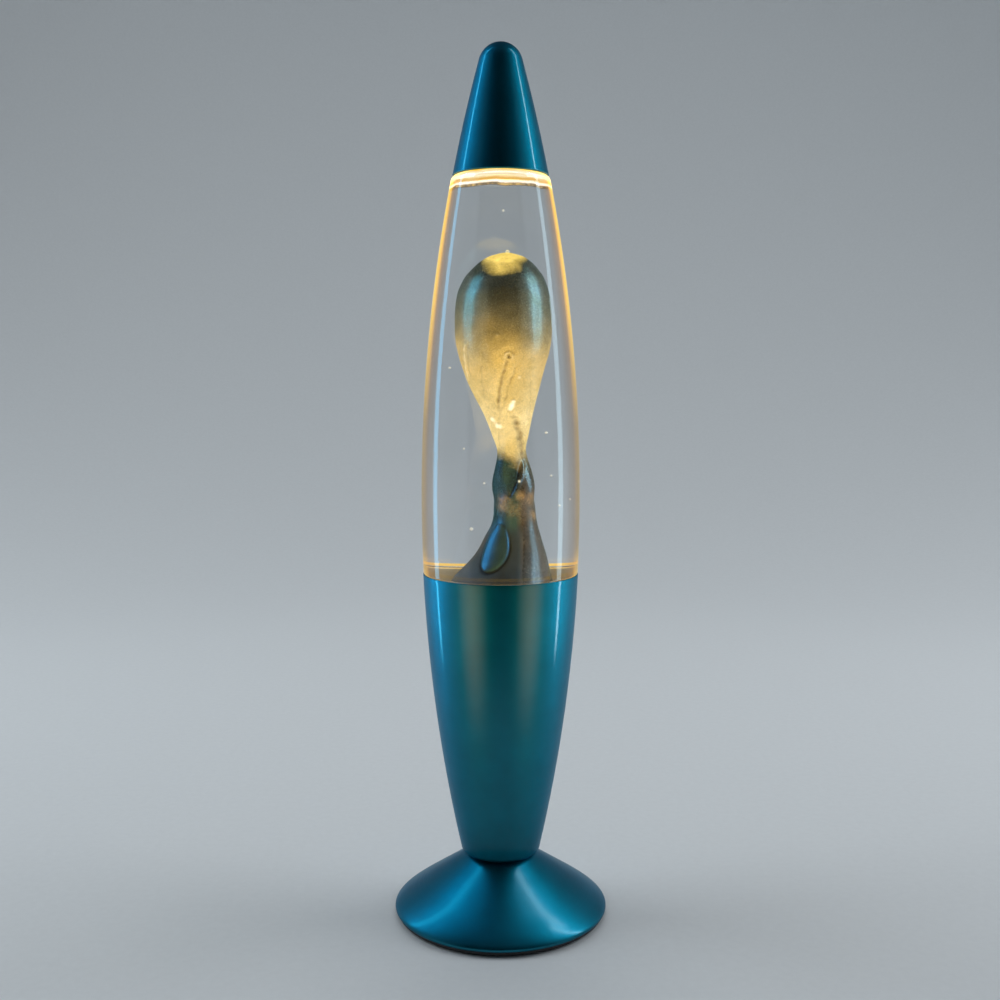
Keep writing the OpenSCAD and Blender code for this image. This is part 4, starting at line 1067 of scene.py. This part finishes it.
crown_edge = [(0, crown_top), (lid_r - 0.4, crown_top), (CROWN_R, crown_top - CROWN_H)]
crown_profile = (
    fillet(crown_edge, {1: 1.3})[:-1]
    + [(lid_r + 0.35 + 0.75 * k / 10, crown_top - 1.4 - (CROWN_H - 1.4) * k / 10) for k in range(1, 11)]
    + [(CROWN_R - CROWN_T, crown_top - CROWN_H), (bead_r + 0.15, crown_top - 2.2),
       (lid_r - CROWN_T, crown_top - CROWN_T), (0, crown_top - CROWN_T)])
crown = paint(lathe("crown_cap_lid", crown_profile, CROWN_TEETH * 12, closed=False, wave=crimp), crown_mat)
place(crown, "globe", "crown_cap")

# Bulb: a mirror-coated neck, a frosted front and a rolled thread

front_h = BULB_L * 0.28


def bulb_path(t):
    path = [(SCREW_CAP_R - 1.2 - t, BULB_GLASS_Z + t)]
    for i in range(29):
        u = i / 28
        path.append((BULB_NECK_R + (BULB_R - BULB_NECK_R) * math.sin(math.pi / 2 * u) - t,
                     BULB_GLASS_Z + 3 + (BULB_L - front_h - 3) * u ** 1.35))
    for i in range(1, 21):
        a = math.pi / 2 * i / 20
        path.append(((BULB_R - t) * math.cos(a) if i < 20 else 0.0,
                     BULB_TOP_Z - front_h + (front_h - t) * math.sin(a)))
    return path


bulb = lathe("bulb_envelope_glass", bulb_path(0) + bulb_path(BULB_GLASS_T)[::-1], 128)
paint(bulb, bulb_silver, bulb_front(),
      rule=lambda f: 1 if f.center.z > (BULB_TOP_Z - front_h + 0.6) * MM else 0)
place(bulb, "bulb", "bulb_glass")


THREAD_DEPTH = 0.34
THREAD_ROWS = 84


def thread(a, r, z):
    if r < SCREW_CAP_R - 0.2:
        return r
    w = window(z, SCREW_Z + 2.0, BULB_GLASS_Z - 2.8, 0.9)
    return r - THREAD_DEPTH * w * (1 - math.cos(2 * math.pi * (z - SCREW_Z) / SCREW_PITCH - a))


thread_h = BULB_GLASS_Z - SCREW_Z - 1.8
screw_profile = (
    [(SCREW_CAP_R - 1.2, SCREW_Z), (SCREW_CAP_R - 0.5, SCREW_Z), (SCREW_CAP_R - 0.12, SCREW_Z + 0.4)]
    + [(SCREW_CAP_R, SCREW_Z + 0.9 + thread_h * k / THREAD_ROWS) for k in range(THREAD_ROWS + 1)]
    + [(SCREW_CAP_R - 0.3, BULB_GLASS_Z), (SCREW_CAP_R - 1.9, BULB_GLASS_Z),
       (SCREW_CAP_R - 1.9, BULB_GLASS_Z - 0.5)])
screw = paint(lathe("bulb_screw_shell", screw_profile, 96, wave=thread, sharp=50), bulb_metal)
place(screw, "bulb", "bulb_screw_cap")


# Stage: a pale round floor that curves up into a backdrop

def stage_material():
    """Matt paper, pale on every side of the object, with painted shade in a wedge that starts well in front
    of it: a darker colour that stands for an unlit room on that side.
    """
    n = Nodes("pale_studio_paper")
    fibre = n.noise(240.0, 4.0, 0.6)
    spot = n.axes()
    across = n.math("SQRT", n.add(n.times(spot["X"], spot["X"]), 0.04))
    depth = n.add(spot["Y"], n.times(across, 0.7))
    shade = n.ramp(n.span(depth, -0.36, -0.03), [
        (0.0, (0.045, 0.052, 0.058)), (0.40, (0.15, 0.17, 0.185)), (1.0, (0.68, 0.72, 0.75))], "EASE")
    n.set(Base_Color=n.mix(n.vary(fibre, 0.0, 0.06), shade, (0.30, 0.33, 0.36)),
          Roughness=0.9, Specular_IOR_Level=0.0)
    return n.bump(fibre, 0.05, 0.0002).mat


FLAT_R, BEND_R, WALL_TOP = 800, 1100, 2600
room_path = ([(FLAT_R * k / 16, 0) for k in range(17)] + arc((FLAT_R, BEND_R), BEND_R, -90, 0, 32)[1:]
             + [(FLAT_R + BEND_R, WALL_TOP)])
room = lathe("floor_and_backdrop", room_path, 96, closed=False, sharp=180)
for f in room.data.polygons:
    f.flip()
paint(room, stage_material())

# Light: two soft boxes and a soft overhead, then strips, panels and cards that only show as reflections

def fade(data, across, along):
    """Lets a light die away towards its edges, over these shares of its width and height."""
    data.use_nodes = True
    tree = data.node_tree
    split = tree.nodes.new("ShaderNodeSeparateXYZ")
    tree.links.new(tree.nodes.new("ShaderNodeNewGeometry").outputs["Parametric"], split.inputs[0])
    total = tree.nodes.new("ShaderNodeMath")
    total.operation = "MULTIPLY"
    for i, share in enumerate((across, along)):
        off = tree.nodes.new("ShaderNodeMath")
        off.operation = "SUBTRACT"
        off.inputs[1].default_value = 0.5
        tree.links.new(split.outputs[i], off.inputs[0])
        size = tree.nodes.new("ShaderNodeMath")
        size.operation = "ABSOLUTE"
        tree.links.new(off.outputs[0], size.inputs[0])
        soft = tree.nodes.new("ShaderNodeMapRange")
        soft.interpolation_type = "SMOOTHSTEP"
        soft.inputs["From Min"].default_value = 0.5
        soft.inputs["From Max"].default_value = 0.5 - share
        tree.links.new(size.outputs[0], soft.inputs["Value"])
        tree.links.new(soft.outputs[0], total.inputs[i])
    tree.links.new(total.outputs[0], tree.nodes["Emission"].inputs["Strength"])


def area_light(name, at, aim, size, radiance, colour, only=(), soft=None):
    """A panel of light. Made for some pieces it shows as a reflection on these only, else it only lights."""
    data = bpy.data.lights.new(name, "AREA")
    data.shape = "RECTANGLE"
    data.size, data.size_y = size
    data.energy = radiance * math.pi * size[0] * size[1]
    data.color = colour
    if soft:
        fade(data, *soft)
    obj = bpy.data.objects.new(name, data)
    obj.location = at
    obj.rotation_euler = (Vector(aim) - Vector(at)).to_track_quat("-Z", "Y").to_euler()
    obj.visible_camera = False
    obj.visible_transmission = False
    obj.visible_diffuse = not only
    obj.visible_glossy = bool(only)
    bpy.context.scene.collection.objects.link(obj)
    if only:
        lit = bpy.data.collections.new(name + "_lights")
        for piece in only:
            lit.objects.link(piece)
        obj.light_linking.receiver_collection = lit


area_light("softbox_left", (-1.0, 0.15, 0.85), (0, 0.1, 0.20),
           size=(0.8, 1.0), radiance=2.2, colour=(0.92, 0.97, 1.0))
area_light("softbox_right", (1.0, 0.15, 0.85), (0, 0.1, 0.20),
           size=(0.8, 1.0), radiance=2.2, colour=(0.98, 0.99, 1.0))
area_light("overhead_back", (0.0, 0.75, 1.8), (0, 0.35, 0.0),
           size=(1.4, 0.8), radiance=2.6, colour=(1.0, 0.99, 0.97))
# Strips, panels and cards, each made for the pieces that it names
metal = (sleeve, cap)
clear = (bottle, liquid)
cyan, sky, ice = (0.10, 0.68, 1.0), (0.16, 0.62, 1.0), (0.62, 0.88, 1.0)
deep, blue, pale_blue = (0.02, 0.68, 1.0), (0.07, 0.46, 1.0), (0.22, 0.55, 1.0)
amber, rust = (1.0, 0.70, 0.27), (0.95, 0.25, 0.10)
area_light("strip_left", (-0.294, 0.065, 0.48), (0, 0, 0.48),
           size=(0.028, 0.93), radiance=21.0, colour=cyan, only=metal, soft=(0.25, 0.05))
area_light("strip_right", (0.300, 0.012, 0.48), (0, 0, 0.48),
           size=(0.028, 0.93), radiance=19.0, colour=ice, only=metal, soft=(0.25, 0.05))
area_light("foot_left", (-0.286, 0.092, 0.43), (0, 0, 0.30),
           size=(0.050, 0.72), radiance=12.5, colour=deep, only=(foot,), soft=(0.4, 0.15))
area_light("foot_right", (0.294, 0.052, 0.68), (0, 0, 0.50),
           size=(0.050, 0.60), radiance=16.0, colour=ice, only=(foot,), soft=(0.4, 0.2))
area_light("foot_right_low", (0.299, -0.005, 0.27), (0, 0, 0.20),
           size=(0.050, 0.36), radiance=14.0, colour=ice, only=(foot,), soft=(0.4, 0.2))
area_light("line_left", (-0.294, 0.065, 0.36), (0, 0, 0.36),
           size=(0.050, 0.72), radiance=4.4, colour=sky, only=clear)
area_light("line_right", (0.300, 0.003, 0.36), (0, 0, 0.36),
           size=(0.050, 0.72), radiance=4.2, colour=ice, only=clear)
area_light("wax_panel_left", (-0.36, 0.03, 0.40), (0, 0, 0.32),
           size=(0.076, 0.32), radiance=42.0, colour=blue, only=(wax,), soft=(0.5, 0.2))
area_light("wax_panel_right", (0.36, 0.03, 0.40), (0, 0, 0.32),
           size=(0.070, 0.36), radiance=54.0, colour=pale_blue, only=(wax,), soft=(0.5, 0.2))
area_light("wax_amber_front", (0.0, -0.26, 0.13), (0, 0, 0.24),
           size=(0.90, 0.08), radiance=12.0, colour=amber, only=(wax,))
area_light("wax_amber_back", (0.0, 0.26, 0.13), (0, 0, 0.24),
           size=(0.90, 0.08), radiance=12.0, colour=amber, only=(wax,))
for side_name, x in (("left", -0.095), ("right", 0.103)):
    area_light("sleeve_card_" + side_name, (x, -0.117, 0.13), (0, 0, 0.13),
               size=(0.135, 0.26), radiance=4.2, colour=rust, only=(sleeve,), soft=(0.5, 0.45))

world = bpy.data.worlds.new("studio")
world.use_nodes = True
background = world.node_tree.nodes["Background"]
background.inputs["Color"].default_value = (0.10, 0.118, 0.135, 1.0)
background.inputs["Strength"].default_value = 0.6
bpy.context.scene.world = world

# Camera, as in the photograph

camera = bpy.data.cameras.new("photo_camera")
camera.sensor_width = 36.0
camera.lens = 42.48
camera.clip_start = 0.01
eye = bpy.data.objects.new("photo_camera", camera)
eye.location = (-0.0003, -0.5546, 0.2592)
eye.rotation_euler = (math.radians(84.0), 0.0, 0.0)
bpy.context.scene.collection.objects.link(eye)
bpy.context.scene.camera = eye
bpy.context.scene.view_settings.view_transform = "Standard"
